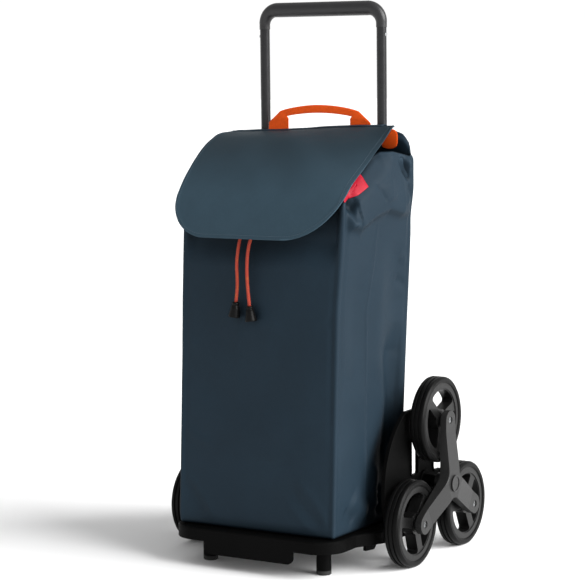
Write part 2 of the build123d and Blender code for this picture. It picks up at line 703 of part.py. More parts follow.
def make_bag_sleeve(side, s):
    """Fabric sleeve that holds the bag to an upright."""
    low = 560.0
    high = 735.0
    with BuildPart() as sleeve:
        with BuildSketch(Plane.XY.offset(low)):
            with Locations((s * UPRIGHT_X, UPRIGHT_Y)):
                Circle(UPRIGHT_R + 3)
            with Locations((s * UPRIGHT_X, 34.5)):
                Rectangle(14, 10)
            with Locations((s * UPRIGHT_X, UPRIGHT_Y)):
                Circle(UPRIGHT_R + 0.6, mode=Mode.SUBTRACT)
        extrude(amount=high - low)
    save(sleeve, f"bag_sleeve_{side}")


def make_side_label():
    """A plain sewn label on the bag's right side, just under the lid's edge."""
    with BuildPart() as label:
        with BuildSketch(side_plane(176.5)):
            Polygon((-186, 666), (-121, 714), (-108, 704), (-106, 692), (-160, 668), align=None)
        extrude(amount=1.2)
    save(label, "side_label")


# ---------------------------------------------------------------- drawcord tails
CORD_ROUTES = {
    "left": [(-14, -188, 648), (-16.5, -190, 641), (-20, -197, 628), (-24, -202.5, 613.5),
             (-27.5, -206, 596), (-31, -208, 575), (-33, -209, 551), (-31.5, -209.5, 528),
             (-31.5, -210, 507), (-34.5, -210.5, 485)],
    "right": [(14, -188, 648), (11.5, -190, 641), (6.5, -197, 628), (0, -202.5, 613.5),
              (-6, -206, 596), (-10, -208, 575), (-11.5, -209, 551), (-11, -209.5, 526),
              (-8.8, -210, 502), (-6, -210.5, 479)],
}


def bend_radii(points):
    """Arc at each inner point: 0.45 of the shorter run over the tangent of half the turn."""
    runs = [b - a for a, b in zip(points, points[1:])]
    radii = []
    for before, after in zip(runs, runs[1:]):
        half_turn = math.radians(before.get_angle(after)) / 2
        radii.append(0.45 * min(before.length, after.length) / math.tan(half_turn))
    return radii


def make_cord(side):
    points = [Vector(*p) for p in CORD_ROUTES[side]]
    radii = bend_radii(points)
    with BuildPart() as cord:
        with BuildLine() as route:
            FilletPolyline(*points, radius=radii)
        with BuildSketch(Plane(origin=points[0], z_dir=points[1] - points[0])):
            Circle(CORD_R)
        sweep(path=route.wires()[0])
    save(cord, f"cord_{side}")
    section = math.pi * CORD_R ** 2
    length = route.wires()[0].length
    print(f"cord_{side}: length {length:.1f}, radii", [round(r) for r in radii],
          f"volume ratio {cord.part.volume / (section * length):.4f}")


def make_cord_end(side):
    points = [Vector(*p) for p in CORD_ROUTES[side]]
    along = (points[-1] - points[-2]).normalized()
    with BuildPart() as bell:
        with BuildSketch(Plane(origin=points[-1], z_dir=along)):
            Circle(6.5)
        with BuildSketch(Plane(origin=points[-1] + along * BELL_LENGTH, z_dir=along)):
            Circle(11)
        loft()
    save(bell, f"cord_end_{side}")


# ---------------------------------------------------------------- build everything
for side_name, sign in SIDES.items():
    for wheel_place in WHEEL_PLACES:
        make_tyre(side_name, sign, wheel_place)
        make_rim(side_name, sign, wheel_place)
    make_spider(side_name, sign)
    make_spider_cap(side_name, sign)
    make_wheel_bolts(side_name, sign)
    make_axle_spacer(side_name, sign)
    make_axle_bracket(side_name, sign)
    make_upright(side_name, sign)
    make_foot(side_name, sign)
    make_guard(side_name, sign)
    make_bag_side(side_name, sign)
    make_hang_tab(side_name, sign)
    make_bag_sleeve(side_name, sign)
    make_cord(side_name)
    make_cord_end(side_name)

for bar_name, bar_height in CROSS_BAR_HEIGHTS.items():
    make_cross_bar(bar_name, bar_height)

make_axle()
make_axle_retainers()
make_bracket_screws()
make_foot_tips()
make_guard_screws()
make_pivot_bushes()
make_grip()
make_rivets()
make_tray()
make_base_board()
make_bag_front()
make_bag_back()
make_bag_bottom()
make_bag_neck()
make_drawstring()
make_eyelets()
make_lid()
make_carry_handle()
make_side_label()
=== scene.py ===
"""The looks of the folding shopping trolley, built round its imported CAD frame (metres)."""
import math

import bpy
import numpy as np
from mathutils import Matrix, Vector, noise
from mathutils.bvhtree import BVHTree


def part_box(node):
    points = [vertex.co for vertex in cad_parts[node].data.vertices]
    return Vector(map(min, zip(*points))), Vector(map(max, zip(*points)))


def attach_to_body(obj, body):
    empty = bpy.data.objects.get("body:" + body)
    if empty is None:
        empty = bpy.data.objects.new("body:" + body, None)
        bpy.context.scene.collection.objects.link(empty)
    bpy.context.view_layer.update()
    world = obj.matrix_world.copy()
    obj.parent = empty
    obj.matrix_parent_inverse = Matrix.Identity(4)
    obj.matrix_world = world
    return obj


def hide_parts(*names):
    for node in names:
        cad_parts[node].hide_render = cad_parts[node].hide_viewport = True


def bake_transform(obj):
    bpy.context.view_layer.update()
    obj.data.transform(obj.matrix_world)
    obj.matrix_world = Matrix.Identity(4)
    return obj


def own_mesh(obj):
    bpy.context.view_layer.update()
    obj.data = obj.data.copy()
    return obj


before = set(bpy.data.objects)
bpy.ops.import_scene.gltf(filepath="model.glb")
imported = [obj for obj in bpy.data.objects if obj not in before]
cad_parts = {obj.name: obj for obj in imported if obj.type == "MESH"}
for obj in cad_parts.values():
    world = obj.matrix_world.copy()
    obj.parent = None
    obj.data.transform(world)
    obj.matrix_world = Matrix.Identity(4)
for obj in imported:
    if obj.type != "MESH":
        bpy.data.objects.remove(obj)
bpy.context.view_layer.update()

MM = 0.001

# ------------------------------------------------------------------ measures read from the CAD
FRONT_LOW, FRONT_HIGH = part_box("bag_front")
SIDE_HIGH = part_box("bag_side_right")[1]
BACK_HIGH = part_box("bag_back")[1]
FABRIC = 2 * MM                          # the CAD gives its fabric panels this thickness
Z_BOTTOM = FRONT_LOW.z
Z_NECK_FRONT = FRONT_HIGH.z
Y_FRONT_LOW = FRONT_LOW.y
Y_FRONT_TOP = FRONT_HIGH.y - FABRIC
HALF_FRONT = FRONT_HIGH.x
HALF_REAR_TOP = SIDE_HIGH.x
HALF_REAR_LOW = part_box("bag_bottom")[1].x + 3 * MM
Y_BACK = SIDE_HIGH.y
Z_NECK_REAR = SIDE_HIGH.z
Z_NECK_MIDDLE = Z_NECK_FRONT + 0.5 * (Z_NECK_REAR - Z_NECK_FRONT)
Z_BACK_TOP = BACK_HIGH.z
Z_FULL_WIDTH = 0.600                     # the bag's rear reaches its full width here
NECK_SLOPE = (Z_NECK_REAR - Z_NECK_FRONT) / (Y_BACK - Y_FRONT_TOP)
CHANNEL_LOW, CHANNEL_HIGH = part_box("drawstring_channel")


# ------------------------------------------------------------------ camera
def make_camera():
    """The photograph's viewing angle: azimuth, elevation and roll about the trolley's middle."""
    azimuth, elevation, roll = (math.radians(a) for a in (30.904, 6.198, -0.607))
    distance = 3.8246
    target = Vector((0, -0.05645, 0.5))
    data = bpy.data.cameras.new("camera")
    data.sensor_width = 36
    data.lens = 128.1
    data.shift_x = -0.0072
    data.shift_y = -0.0108
    data.clip_start = 0.05
    data.clip_end = 100
    camera = bpy.data.objects.new("camera", data)
    bpy.context.scene.collection.objects.link(camera)
    camera.matrix_world = (Matrix.Translation(target) @ Matrix.Rotation(azimuth, 4, "Z")
                           @ Matrix.Rotation(math.pi / 2 - elevation, 4, "X")
                           @ Matrix.Rotation(roll, 4, "Z")
                           @ Matrix.Translation((0, 0, distance)))
    bpy.context.scene.camera = camera


# ------------------------------------------------------------------ material helpers
def start_material(name):
    """A new node material: the material, its tree and its shader."""
    material = bpy.data.materials.new(name)
    material.use_nodes = True
    tree = material.node_tree
    return material, tree, tree.nodes["Principled BSDF"]


def attach(tree, socket, source):
    """Link an output to a socket, or set the socket to a plain value."""
    if isinstance(source, bpy.types.NodeSocket):
        tree.links.new(source, socket)
    else:
        socket.default_value = source


def feed(tree, target, **sources):
    """Give each named input of a node its source, an output or a plain value."""
    for key, source in sources.items():
        attach(tree, target.inputs[key.replace("_", " ")], source)


def node(tree, kind, **values):
    """A node with the given settings; a value whose name isn't a setting goes to that input."""
    made = tree.nodes.new(kind)
    for key, value in values.items():
        if hasattr(made, key):
            setattr(made, key, value)
        else:
            feed(tree, made, **{key: value})
    return made


def coordinates(tree, source="Object", scale=(1, 1, 1), turn=0.0):
    """Texture coordinates in metres, stretched by scale and turned about Z."""
    where = node(tree, "ShaderNodeTexCoord").outputs[source]
    return node(tree, "ShaderNodeMapping", Vector=where, Scale=scale,
                Rotation=(0, 0, turn)).outputs["Vector"]


def noise_field(tree, vector, scale, detail=3.0, rough=0.55):
    return node(tree, "ShaderNodeTexNoise", Vector=vector, Scale=scale, Detail=detail,
                Roughness=rough).outputs["Fac"]


def wave_field(tree, vector, pitch, direction):
    """Parallel ribs, one each pitch metres."""
    return node(tree, "ShaderNodeTexWave", wave_type="BANDS", bands_direction=direction,
                Vector=vector, Scale=2 * math.pi / (20 * pitch)).outputs["Fac"]


def combine(tree, kind, first, second):
    made = node(tree, "ShaderNodeMath", operation=kind)
    attach(tree, made.inputs[0], first)
    attach(tree, made.inputs[1], second)
    return made.outputs[0]


def weigh(tree, first, share, second):
    """Two values mixed, with this share of the first."""
    return combine(tree, "ADD", combine(tree, "MULTIPLY", first, share),
                   combine(tree, "MULTIPLY", second, 1 - share))


def carry(tree, value, start, end, low, high, kind="LINEAR"):
    """Value carried from the range start to end over to the range low to high."""
    return node(tree, "ShaderNodeMapRange", interpolation_type=kind, Value=value,
                From_Min=start, From_Max=end, To_Min=low, To_Max=high).outputs["Result"]


def ramp(tree, value, stops):
    """A colour ramp with (place, linear colour) stops."""
    made = node(tree, "ShaderNodeValToRGB", Fac=value)
    elements = made.color_ramp.elements
    for element, (place, colour) in zip(elements, stops):
        element.position = place
        element.color = (*colour, 1)
    return made.outputs["Color"]


def scaled(colour, share, lift=0.0):
    return tuple(min(1.0, c * share + lift) for c in colour)


def tint(tree, value, colour, low, high):
    """The colour, darker and lighter with the value."""
    return ramp(tree, value, [(0.25, scaled(colour, low)), (0.75, scaled(colour, high))])


def bump(tree, height, strength, distance, **under):
    return node(tree, "ShaderNodeBump", Height=height, Strength=strength, Distance=distance,
                **under).outputs["Normal"]


def overlay(tree, under, over, share):
    """The plain colour over laid on colour under, by a share from 0 to 1."""
    made = node(tree, "ShaderNodeMix", data_type="RGBA")
    attach(tree, made.inputs[0], share)
    attach(tree, made.inputs[6], under)
    attach(tree, made.inputs[7], (*over, 1))
    return made.outputs[2]


# ------------------------------------------------------------------ materials
def fabric_material(name, colour, painted_top_shade_keep=1.0):
    """Coated polyester: a plain weave, uneven threads, a painted highlight along its creases and
    painted shade in its folds and crevices.

    The last argument is how much of the colour is left at the top of the trolley's flap, under a
    painted shade that darkens it with height.
    """
    material, tree, shader = start_material(name)
    thread = 1.1 * MM
    # reach of the ambient occlusion that paints shade into folds and crevices, in metres
    painted_shade_reach = 0.10
    flat = coordinates(tree, "UV")
    weave = combine(tree, "MULTIPLY", wave_field(tree, flat, thread, "X"),
                    wave_field(tree, flat, thread, "Y"))
    slubs = weigh(tree, noise_field(tree, coordinates(tree, "UV", (90, 900, 1)), 1.0, 2), 0.5,
                  noise_field(tree, coordinates(tree, "UV", (900, 90, 1)), 1.0, 2))
    both = weigh(tree, slubs, 0.55, noise_field(tree, coordinates(tree), 9.0, 4))
    high = node(tree, "ShaderNodeSeparateXYZ", Vector=coordinates(tree)).outputs["Z"]
    edge = node(tree, "ShaderNodeNewGeometry").outputs["Pointiness"]
    painted_crevice_shade = node(tree, "ShaderNodeAmbientOcclusion", samples=8, Distance=painted_shade_reach).outputs["AO"]
    base = tint(tree, both, colour, 0.80, 1.22)
    for share, over in (
            # painted shade: the top of the flap darkened with height
            (carry(tree, high, 0.66, 0.79, 0, 1 - painted_top_shade_keep, "SMOOTHSTEP"), scaled(colour, 0.2)),
            # painted highlight: creases and sharp folds paled where the mesh is pointy
            (carry(tree, edge, 0.515, 0.60, 0, 0.45), scaled(colour, 2.1, 0.01)),
            # painted shade: folds, crevices and the front under the flap darkened by ambient
            # occlusion
            (carry(tree, painted_crevice_shade, 0.85, 0.25, 0, 0.85), scaled(colour, 0.12))):
        base = overlay(tree, base, over, share)
    fine = bump(tree, weave, 0.22, 0.0003)
    feed(tree, shader, Base_Color=base, Roughness=carry(tree, both, 0, 1, 0.48, 0.66),
         Specular_IOR_Level=0.09, Normal=bump(tree, slubs, 0.25, 0.0004, Normal=fine))
    return material


def webbing_material():
    """Woven nylon webbing: fine herringbone ribs across a bright orange strap."""
    material, tree, shader = start_material("webbing_orange")
    flat = coordinates(tree, "UV")
    weave = weigh(tree, wave_field(tree, flat, 1.6 * MM, "Y"), 0.6,
                  wave_field(tree, flat, 2.2 * MM, "DIAGONAL"))
    fuzz = noise_field(tree, coordinates(tree), 420, 2)
    both = weigh(tree, weave, 0.5, fuzz)
    feed(tree, shader, Base_Color=tint(tree, both, (0.80, 0.090, 0.007), 0.80, 1.2),
         Roughness=carry(tree, fuzz, 0, 1, 0.62, 0.82), Specular_IOR_Level=0.15,
         Sheen_Weight=0.06, Sheen_Tint=(1.0, 0.45, 0.2, 1),
         Normal=bump(tree, weave, 0.6, 0.0005))
    return material


def cord_material():
    """Braided drawcord: diagonal strands in two oranges with dark red flecks."""
    material, tree, shader = start_material("drawcord_braid")
    braid = combine(tree, "MAXIMUM",
                    *(wave_field(tree, coordinates(tree, "UV", turn=turn), 2.6 * MM, "Y")
                      for turn in (0.6, -0.6)))
    fleck = carry(tree, noise_field(tree, coordinates(tree), 160, 2), 0.56, 0.66, 0, 0.75)
    base = ramp(tree, braid, [(0.2, (0.20, 0.020, 0.012)), (0.75, (0.36, 0.048, 0.028))])
    feed(tree, shader, Base_Color=overlay(tree, base, (0.34, 0.085, 0.018), fleck),
         Roughness=0.72, Specular_IOR_Level=0.2, Normal=bump(tree, braid, 0.7, 0.0006))
    return material


def hard_material(name, colour, rough, grain, depth, wear=0.25, metallic=0.0, edge=0.0007,
                  specular=0.35):
    """Moulded plastic, rubber, paint or metal: grain, uneven gloss, scuffs and rounded edges."""
    material, tree, shader = start_material(name)
    where = coordinates(tree)
    texture = noise_field(tree, where, grain, 3)
    cloud = noise_field(tree, where, 14, 5, 0.6)
    scuff = noise_field(tree, coordinates(tree, "Object", (60, 60, 420)), 1.0, 4, 0.7)
    base = overlay(tree, tint(tree, cloud, colour, 0.82, 1.2), scaled(colour, 2.0, 0.004),
                   carry(tree, scuff, 0.58, 0.80, 0, wear))
    gloss = carry(tree, weigh(tree, texture, 0.4, cloud), 0, 1, rough - 0.10, rough + 0.12)
    rounded = node(tree, "ShaderNodeBevel", samples=4, Radius=edge).outputs["Normal"]
    feed(tree, shader, Base_Color=base, Roughness=gloss, Metallic=metallic,
         Specular_IOR_Level=specular,
         Normal=bump(tree, texture, depth, 0.0004, Normal=rounded))
    return material


def board_material():
    """Pressed fibre board: short brown-grey fibres."""
    material, tree, shader = start_material("base_board_fibre")
    fibres = noise_field(tree, coordinates(tree, "Object", (300, 60, 60)), 1.0, 5, 0.7)
    both = weigh(tree, fibres, 0.5, noise_field(tree, coordinates(tree), 25, 4))
    feed(tree, shader, Base_Color=tint(tree, both, (0.030, 0.032, 0.034), 0.6, 1.5),
         Roughness=carry(tree, fibres, 0, 1, 0.7, 0.9), Normal=bump(tree, fibres, 0.4, 0.0004))
    return material


def label_material():
    """Satin label cloth, plain crimson."""
    material, tree, shader = start_material("label_crimson")
    satin = wave_field(tree, coordinates(tree, "UV"), 0.9 * MM, "Y")
    cloud = noise_field(tree, coordinates(tree), 60, 3)
    feed(tree, shader, Base_Color=tint(tree, cloud, (0.30, 0.002, 0.014), 0.86, 1.15),
         Roughness=carry(tree, satin, 0, 1, 0.40, 0.55), Specular_IOR_Level=0.2,
         Normal=bump(tree, satin, 0.3, 0.0002))
    return material


def stage_material():
    """The pale floor: white paper with the faintest grain."""
    material, tree, shader = start_material("stage_paper")
    cloud = noise_field(tree, coordinates(tree), 3, 3)
    feed(tree, shader, Base_Color=tint(tree, cloud, (0.90, 0.90, 0.90), 0.995, 1.005),
         Roughness=0.9, Specular_IOR_Level=0.1)
    return material


def black(name, grey, *look, **more):
    """A hard neutral black, as dark as grey."""
    return hard_material(name, (grey, grey, grey), *look, **more)


FABRIC_MAT = fabric_material("bag_fabric_blue", (0.0102, 0.0205, 0.0310))
# The lid is the bag's own fabric given a paler colour than the bag's: painted light on the
# up-facing flap, with painted shade at its top.
LID_MAT = fabric_material("lid_fabric_blue_painted_light", (0.0265, 0.0490, 0.0670), painted_top_shade_keep=0.30)
WEBBING_MAT = webbing_material()
CORD_MAT = cord_material()
LABEL_MAT = label_material()
THREAD_MAT = hard_material("stitch_thread", (0.045, 0.075, 0.10), 0.7, 900, 0.1, 0.1)
ORANGE_THREAD_MAT = hard_material("orange_thread", (0.62, 0.10, 0.03), 0.7, 900, 0.1, 0.1)
PLASTIC_MAT = black("moulded_black", 0.002, 0.46, 1400, 0.35, 0.2, specular=0.03)
RIM_MAT = black("rim_black", 0.005, 0.30, 1300, 0.25, 0.3, specular=0.22)
SPIDER_MAT = black("spider_black", 0.012, 0.42, 1500, 0.4, 0.4, specular=0.34)
CAP_MAT = black("cap_black", 0.010, 0.26, 900, 0.10, 0.1)
BELL_MAT = black("bell_black", 0.003, 0.40, 900, 0.12, 0.1, specular=0.1)
RUBBER_MAT = black("tyre_rubber_black", 0.003, 0.36, 1100, 0.45, 0.5, specular=0.08)
TIP_MAT = black("tip_rubber", 0.012, 0.7, 900, 0.5)
GRIP_MAT = hard_material("grip_black", (0.015, 0.015, 0.016), 0.36, 1700, 0.45, 0.2)
TUBE_MAT = hard_material("tube_paint_black", (0.010, 0.010, 0.011), 0.27, 800, 0.18, 0.12,
                         specular=0.28)
STEEL_MAT = hard_material("zinc_steel", (0.55, 0.56, 0.57), 0.30, 500, 0.15, 0.3, 1.0, 0.0003)
BOARD_MAT = board_material()

NODE_MATERIALS = {start: material for material, starts in (
    (STEEL_MAT, ("handle_rivets", "axle_retainers", "axle", "bracket_screws", "guard_screws",
                 "wheel_bolts")),
    (PLASTIC_MAT, ("axle_spacer", "axle_bracket", "tray", "guard", "pivot_bushes", "foot")),
    (TUBE_MAT, ("upright", "cross_bar")), (GRIP_MAT, ("handle_grip",)),
    (TIP_MAT, ("foot_tips",)), (BOARD_MAT, ("base_board",)), (CAP_MAT, ("spider_cap",)),
    (SPIDER_MAT, ("spider",)), (RUBBER_MAT, ("tyre",)), (RIM_MAT, ("rim",)),
    (BELL_MAT, ("cord_end",))) for start in starts}


def dress_cad_nodes():
    """Each CAD node that stays gets the material of the longest name that starts its own."""
    starts = sorted(NODE_MATERIALS, key=len, reverse=True)
    for name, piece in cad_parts.items():
        match = next((start for start in starts if name.startswith(start)), None)
        if match:
            piece.data.materials.clear()
            piece.data.materials.append(NODE_MATERIALS[match])


# ------------------------------------------------------------------ mesh helpers
def link_mesh(name, points, faces, uvs=None, smooth=True):
    """A linked mesh object; uvs holds one (u, v) for each point, in metres."""
    mesh = bpy.data.meshes.new(name)
    mesh.from_pydata([tuple(map(float, p)) for p in points], [], faces)
    mesh.update()
    if uvs is not None:
        layer = mesh.uv_layers.new(name="UVMap")
        corners = np.zeros(len(mesh.loops), np.int32)
        mesh.loops.foreach_get("vertex_index", corners)
        layer.data.foreach_set("uv", np.asarray(uvs, np.float32)[corners].ravel())
    mesh.polygons.foreach_set("use_smooth", [smooth] * len(mesh.polygons))
    piece = bpy.data.objects.new(name, mesh)
    bpy.context.scene.collection.objects.link(piece)
    return piece


def grid_faces(rows, columns, closed=False):
    """Quads of a grid of points stored row by row; closed joins the last column to the first."""
    faces = []
    last = columns if closed else columns - 1
    for i in range(rows - 1):
        for j in range(last):
            k = (j + 1) % columns
            faces.append((i * columns + j, i * columns + k, (i + 1) * columns + k,
                          (i + 1) * columns + j))
    return faces


def link_grid(name, grid, faces=None):
    """A sheet through a (rows, columns, 3) grid of points, open unless its faces are given."""
    faces = faces or grid_faces(*grid.shape[:2])
    return link_mesh(name, grid.reshape(-1, 3), faces, grid_uvs(grid))


def tube_faces(rows, columns):
    """Faces of a closed tube of rings, with a cap at either end."""
    return grid_faces(rows, columns, closed=True) + [
        tuple(reversed(range(columns))), tuple(range((rows - 1) * columns, rows * columns))]


def grid_uvs(points):
    """UVs in metres for a (rows, columns, 3) grid: lengths along its rows and columns."""
    along = np.linalg.norm(np.diff(points, axis=1), axis=2)
    u = np.concatenate([np.zeros((len(points), 1)), np.cumsum(along, axis=1)], axis=1)
    u -= u[:, [points.shape[1] // 2]]
    up = np.linalg.norm(np.diff(points, axis=0), axis=2)
    v = np.concatenate([np.zeros((1, points.shape[1])), np.cumsum(up, axis=0)], axis=0)
    return np.stack([u, v], axis=2).reshape(-1, 2)


def distances(path):
    """How far along a path each of its points lies."""
    return np.concatenate([[0], np.cumsum(np.linalg.norm(np.diff(path, axis=0), axis=1))])


def smoothstep(value, low, high):
    share = np.clip((value - low) / (high - low), 0, 1)
    return share * share * (3 - 2 * share)


def fractal(points, size, octaves=3, shift=0.0):
    """Smooth noise from about -1 to 1 at each point, with features of the given size."""
    field = np.zeros(len(points))
    for octave in range(octaves):
        step = size / 2 ** octave
        for i, p in enumerate(points):
            at = Vector((p[0] / step + shift, p[1] / step + 2 * shift, p[2] / step - shift))
            field[i] += noise.noise(at) / 2 ** octave
    return field


def line_field(across, up, line):
    """Distance, signed distance (positive on the left) and share along a polyline."""
    best = np.full(across.shape, 1e9)
    signed = np.zeros(across.shape)
    share = np.zeros(across.shape)
    lengths = [math.dist(a, b) for a, b in zip(line, line[1:])]
    total = sum(lengths)
    done = 0.0
    for (ax, ay), (bx, by), length in zip(line, line[1:], lengths):
        dx, dy = (bx - ax) / length, (by - ay) / length
        along = np.clip((across - ax) * dx + (up - ay) * dy, 0, length)
        ox, oy = across - ax - along * dx, up - ay - along * dy
        distance = np.hypot(ox, oy)
        nearer = distance < best
        best = np.where(nearer, distance, best)
        signed = np.where(nearer, dx * oy - dy * ox, signed)
        share = np.where(nearer, (done + along) / total, share)
        done += length
    return best, signed, share


FADES = {"ridge": (5, 0.15), "crease": (6, 0.1), "overhang": (5, 0.0)}


def sculpt(across, up, features):
    """The sum of sculpted folds, given in millimetres, at points in metres.

    A ridge is soft and round, a crease is a sharp pressed line, and an overhang swells on its
    line's left and drops away sharply on its right. All fade to their ends.
    """
    total = np.zeros(across.shape)
    for kind, width, height, line in features:
        distance, signed, share = line_field(across * 1000, up * 1000, line)
        quickness, least = FADES[kind]
        if kind == "ridge":
            fold = np.exp(-(distance / width) ** 2)
        elif kind == "crease":
            fold = np.exp(-distance / width)
        else:
            fold = np.exp(-(signed / np.where(signed > 0, width, 0.16 * width)) ** 2)
        total += height * np.clip(np.minimum(share, 1 - share) * quickness, least, 1) * fold
    return total * MM


def add_modifier(piece, kind, **values):
    made = piece.modifiers.new(kind.lower(), kind)
    for key, value in values.items():
        setattr(made, key, value)
    return made


def settle(piece):
    """Turn a piece's modifiers into plain mesh."""
    shown = piece.evaluated_get(bpy.context.evaluated_depsgraph_get())
    made = bpy.data.meshes.new_from_object(shown)
    piece.modifiers.clear()
    piece.data = made


def finish_piece(piece, material, body, replaced=()):
    piece.data.materials.append(material)
    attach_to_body(piece, body)
    if replaced:
        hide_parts(*replaced)
    return piece


def fold_with_tray(piece):
    """Give the piece a mesh of its own, copied from the one it shares."""
    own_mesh(piece)


# ------------------------------------------------------------------ drawcords
CORD_ROUTES = {
    "left": [(-0.014, -0.188, 0.648), (-0.0165, -0.190, 0.641), (-0.020, -0.197, 0.628),
             (-0.024, -0.2025, 0.6135), (-0.0275, -0.206, 0.596), (-0.031, -0.208, 0.575),
             (-0.033, -0.209, 0.551), (-0.0315, -0.2095, 0.528), (-0.0315, -0.210, 0.507),
             (-0.0345, -0.2105, 0.485)],
    "right": [(0.014, -0.188, 0.648), (0.0115, -0.190, 0.641), (0.0065, -0.197, 0.628),
              (0.0, -0.2025, 0.6135), (-0.006, -0.206, 0.596), (-0.010, -0.208, 0.575),
              (-0.0115, -0.209, 0.551), (-0.011, -0.2095, 0.526), (-0.0088, -0.210, 0.502),
              (-0.006, -0.2105, 0.479)],
}
CORD_DIAMETER = 0.006


def route_points(name, route):
    """Close points along the smooth NURBS line that has the route as its control points."""
    curve = bpy.data.curves.new(name, "CURVE")
    curve.dimensions = "3D"
    curve.resolution_u = 8
    spline = curve.splines.new("NURBS")
    spline.points.add(len(route) - 1)
    for point, place in zip(spline.points, route):
        point.co = (*place, 1)
    spline.order_u = 3
    spline.use_endpoint_u = True
    holder = bpy.data.objects.new(name, curve)
    bpy.context.scene.collection.objects.link(holder)
    bpy.context.view_layer.update()
    line = bpy.data.meshes.new_from_object(holder)
    points = [vertex.co.copy() for vertex in line.vertices]
    bpy.data.objects.remove(holder)
    bpy.data.meshes.remove(line)
    return points


def tube_along(name, points, radii, segments=20):
    """A closed round tube through points, with one radius for each."""
    rings = []
    side = Vector((1, 0, 0))
    for i, point in enumerate(points):
        ahead = points[min(i + 1, len(points) - 1)] - points[max(i - 1, 0)]
        ahead.normalize()
        side = (side - ahead * side.dot(ahead)).normalized()
        other = ahead.cross(side)
        rings.append([point + radii[i] * (math.cos(a) * side + math.sin(a) * other)
                      for a in np.linspace(0, 2 * math.pi, segments, endpoint=False)])
    rows = len(rings)
    travelled = np.cumsum([0] + [(b - a).length for a, b in zip(points, points[1:])])
    turn = 2 * math.pi * max(radii)
    uvs = [(turn * j / segments, travelled[i]) for i in range(rows) for j in range(segments)]
    return link_mesh(name, [p for ring in rings for p in ring], tube_faces(rows, segments), uvs)


def make_cords():
    """The two tails of the drawcord, each with a moulded bell end."""
    for side, route in CORD_ROUTES.items():
        line = route_points(f"route_{side}", route)
        cord = tube_along(f"drawcord_{side}", line, [CORD_DIAMETER / 2] * len(line), 16)
        finish_piece(cord, CORD_MAT, "frame", [f"cord_{side}"])
        bell = make_bell(side, Vector(route[-1]), Vector(route[-1]) - Vector(route[-2]))
        fold_with_tray(cord)
        fold_with_tray(bell)


def make_bell(side, start, direction):
    """A flared end with a collar, a waist and a rounded mouth."""
    along = direction.normalized()
    profile = [(0.0, 0.0030), (0.0, 0.0052), (0.0010, 0.0062), (0.0040, 0.0066), (0.0048, 0.0060),
               (0.0060, 0.0060), (0.0068, 0.0070), (0.012, 0.0080), (0.019, 0.0093),
               (0.025, 0.0106), (0.0262, 0.0108), (0.027, 0.0102), (0.027, 0.0085),
               (0.0245, 0.0075)]
    points = [start + along * place for place, _ in profile]
    bell = tube_along(f"drawcord_bell_{side}", points, [r for _, r in profile], 32)
    return finish_piece(bell, BELL_MAT, "frame", [f"cord_end_{side}"])


# ------------------------------------------------------------------ bag
PANEL_NAMES = ("front", "right", "back", "left")
PANEL_STEPS = {"front": 110, "right": 120, "back": 64, "left": 76}
PANEL_WIDTHS = {"front": 0.324, "right": 0.215, "back": 0.390, "left": 0.215}
CORNER_STEPS = 8
WALL_ROWS = 200
COLLAR_ROWS = 44
CORNER_RADII = (0.006, 0.006, 0.009, 0.009)   # front left, front right, rear right, rear left

FRONT_FEATURES = [
    ("ridge", 60, 2.2, [(-100, 480), (60, 420)]),
    ("ridge", 45, -1.6, [(-150, 330), (-20, 300), (110, 330)]),
    ("ridge", 38, 1.4, [(-60, 250), (90, 262)]),
    ("crease", 5, -0.7, [(-17, 198), (30, 200), (71, 206)]),
    ("ridge", 14, 0.9, [(-30, 212), (60, 216)]),
    ("ridge", 9, 1.6, [(84, 178), (120, 140), (154, 92)]),
    ("ridge", 8, -1.4, [(70, 160), (108, 118), (140, 84)]),
    ("ridge", 7, 1.1, [(58, 140), (92, 106), (118, 82)]),
    ("ridge", 20, -3.0, [(-150, 150), (-128, 112), (-112, 84)]),
    ("ridge", 8, 1.6, [(-152, 170), (-112, 124), (-84, 84)]),
    ("ridge", 10, 1.2, [(-158, 250), (-120, 228), (-84, 222)]),
    ("crease", 4, 0.5, [(-40, 470), (-36, 380), (-42, 300)]),
    ("ridge", 6, 1.2, [(148, 486), (159, 476)]),
    ("ridge", 9, -1.3, [(140, 462), (158, 452)]),
    ("ridge", 24, -1.6, [(120, 640), (134, 590), (120, 540)]),
    ("ridge", 22, 1.3, [(-140, 610), (-118, 560), (-128, 500)]),
    ("ridge", 8, 0.8, [(-158, 420), (-128, 396)]),
]
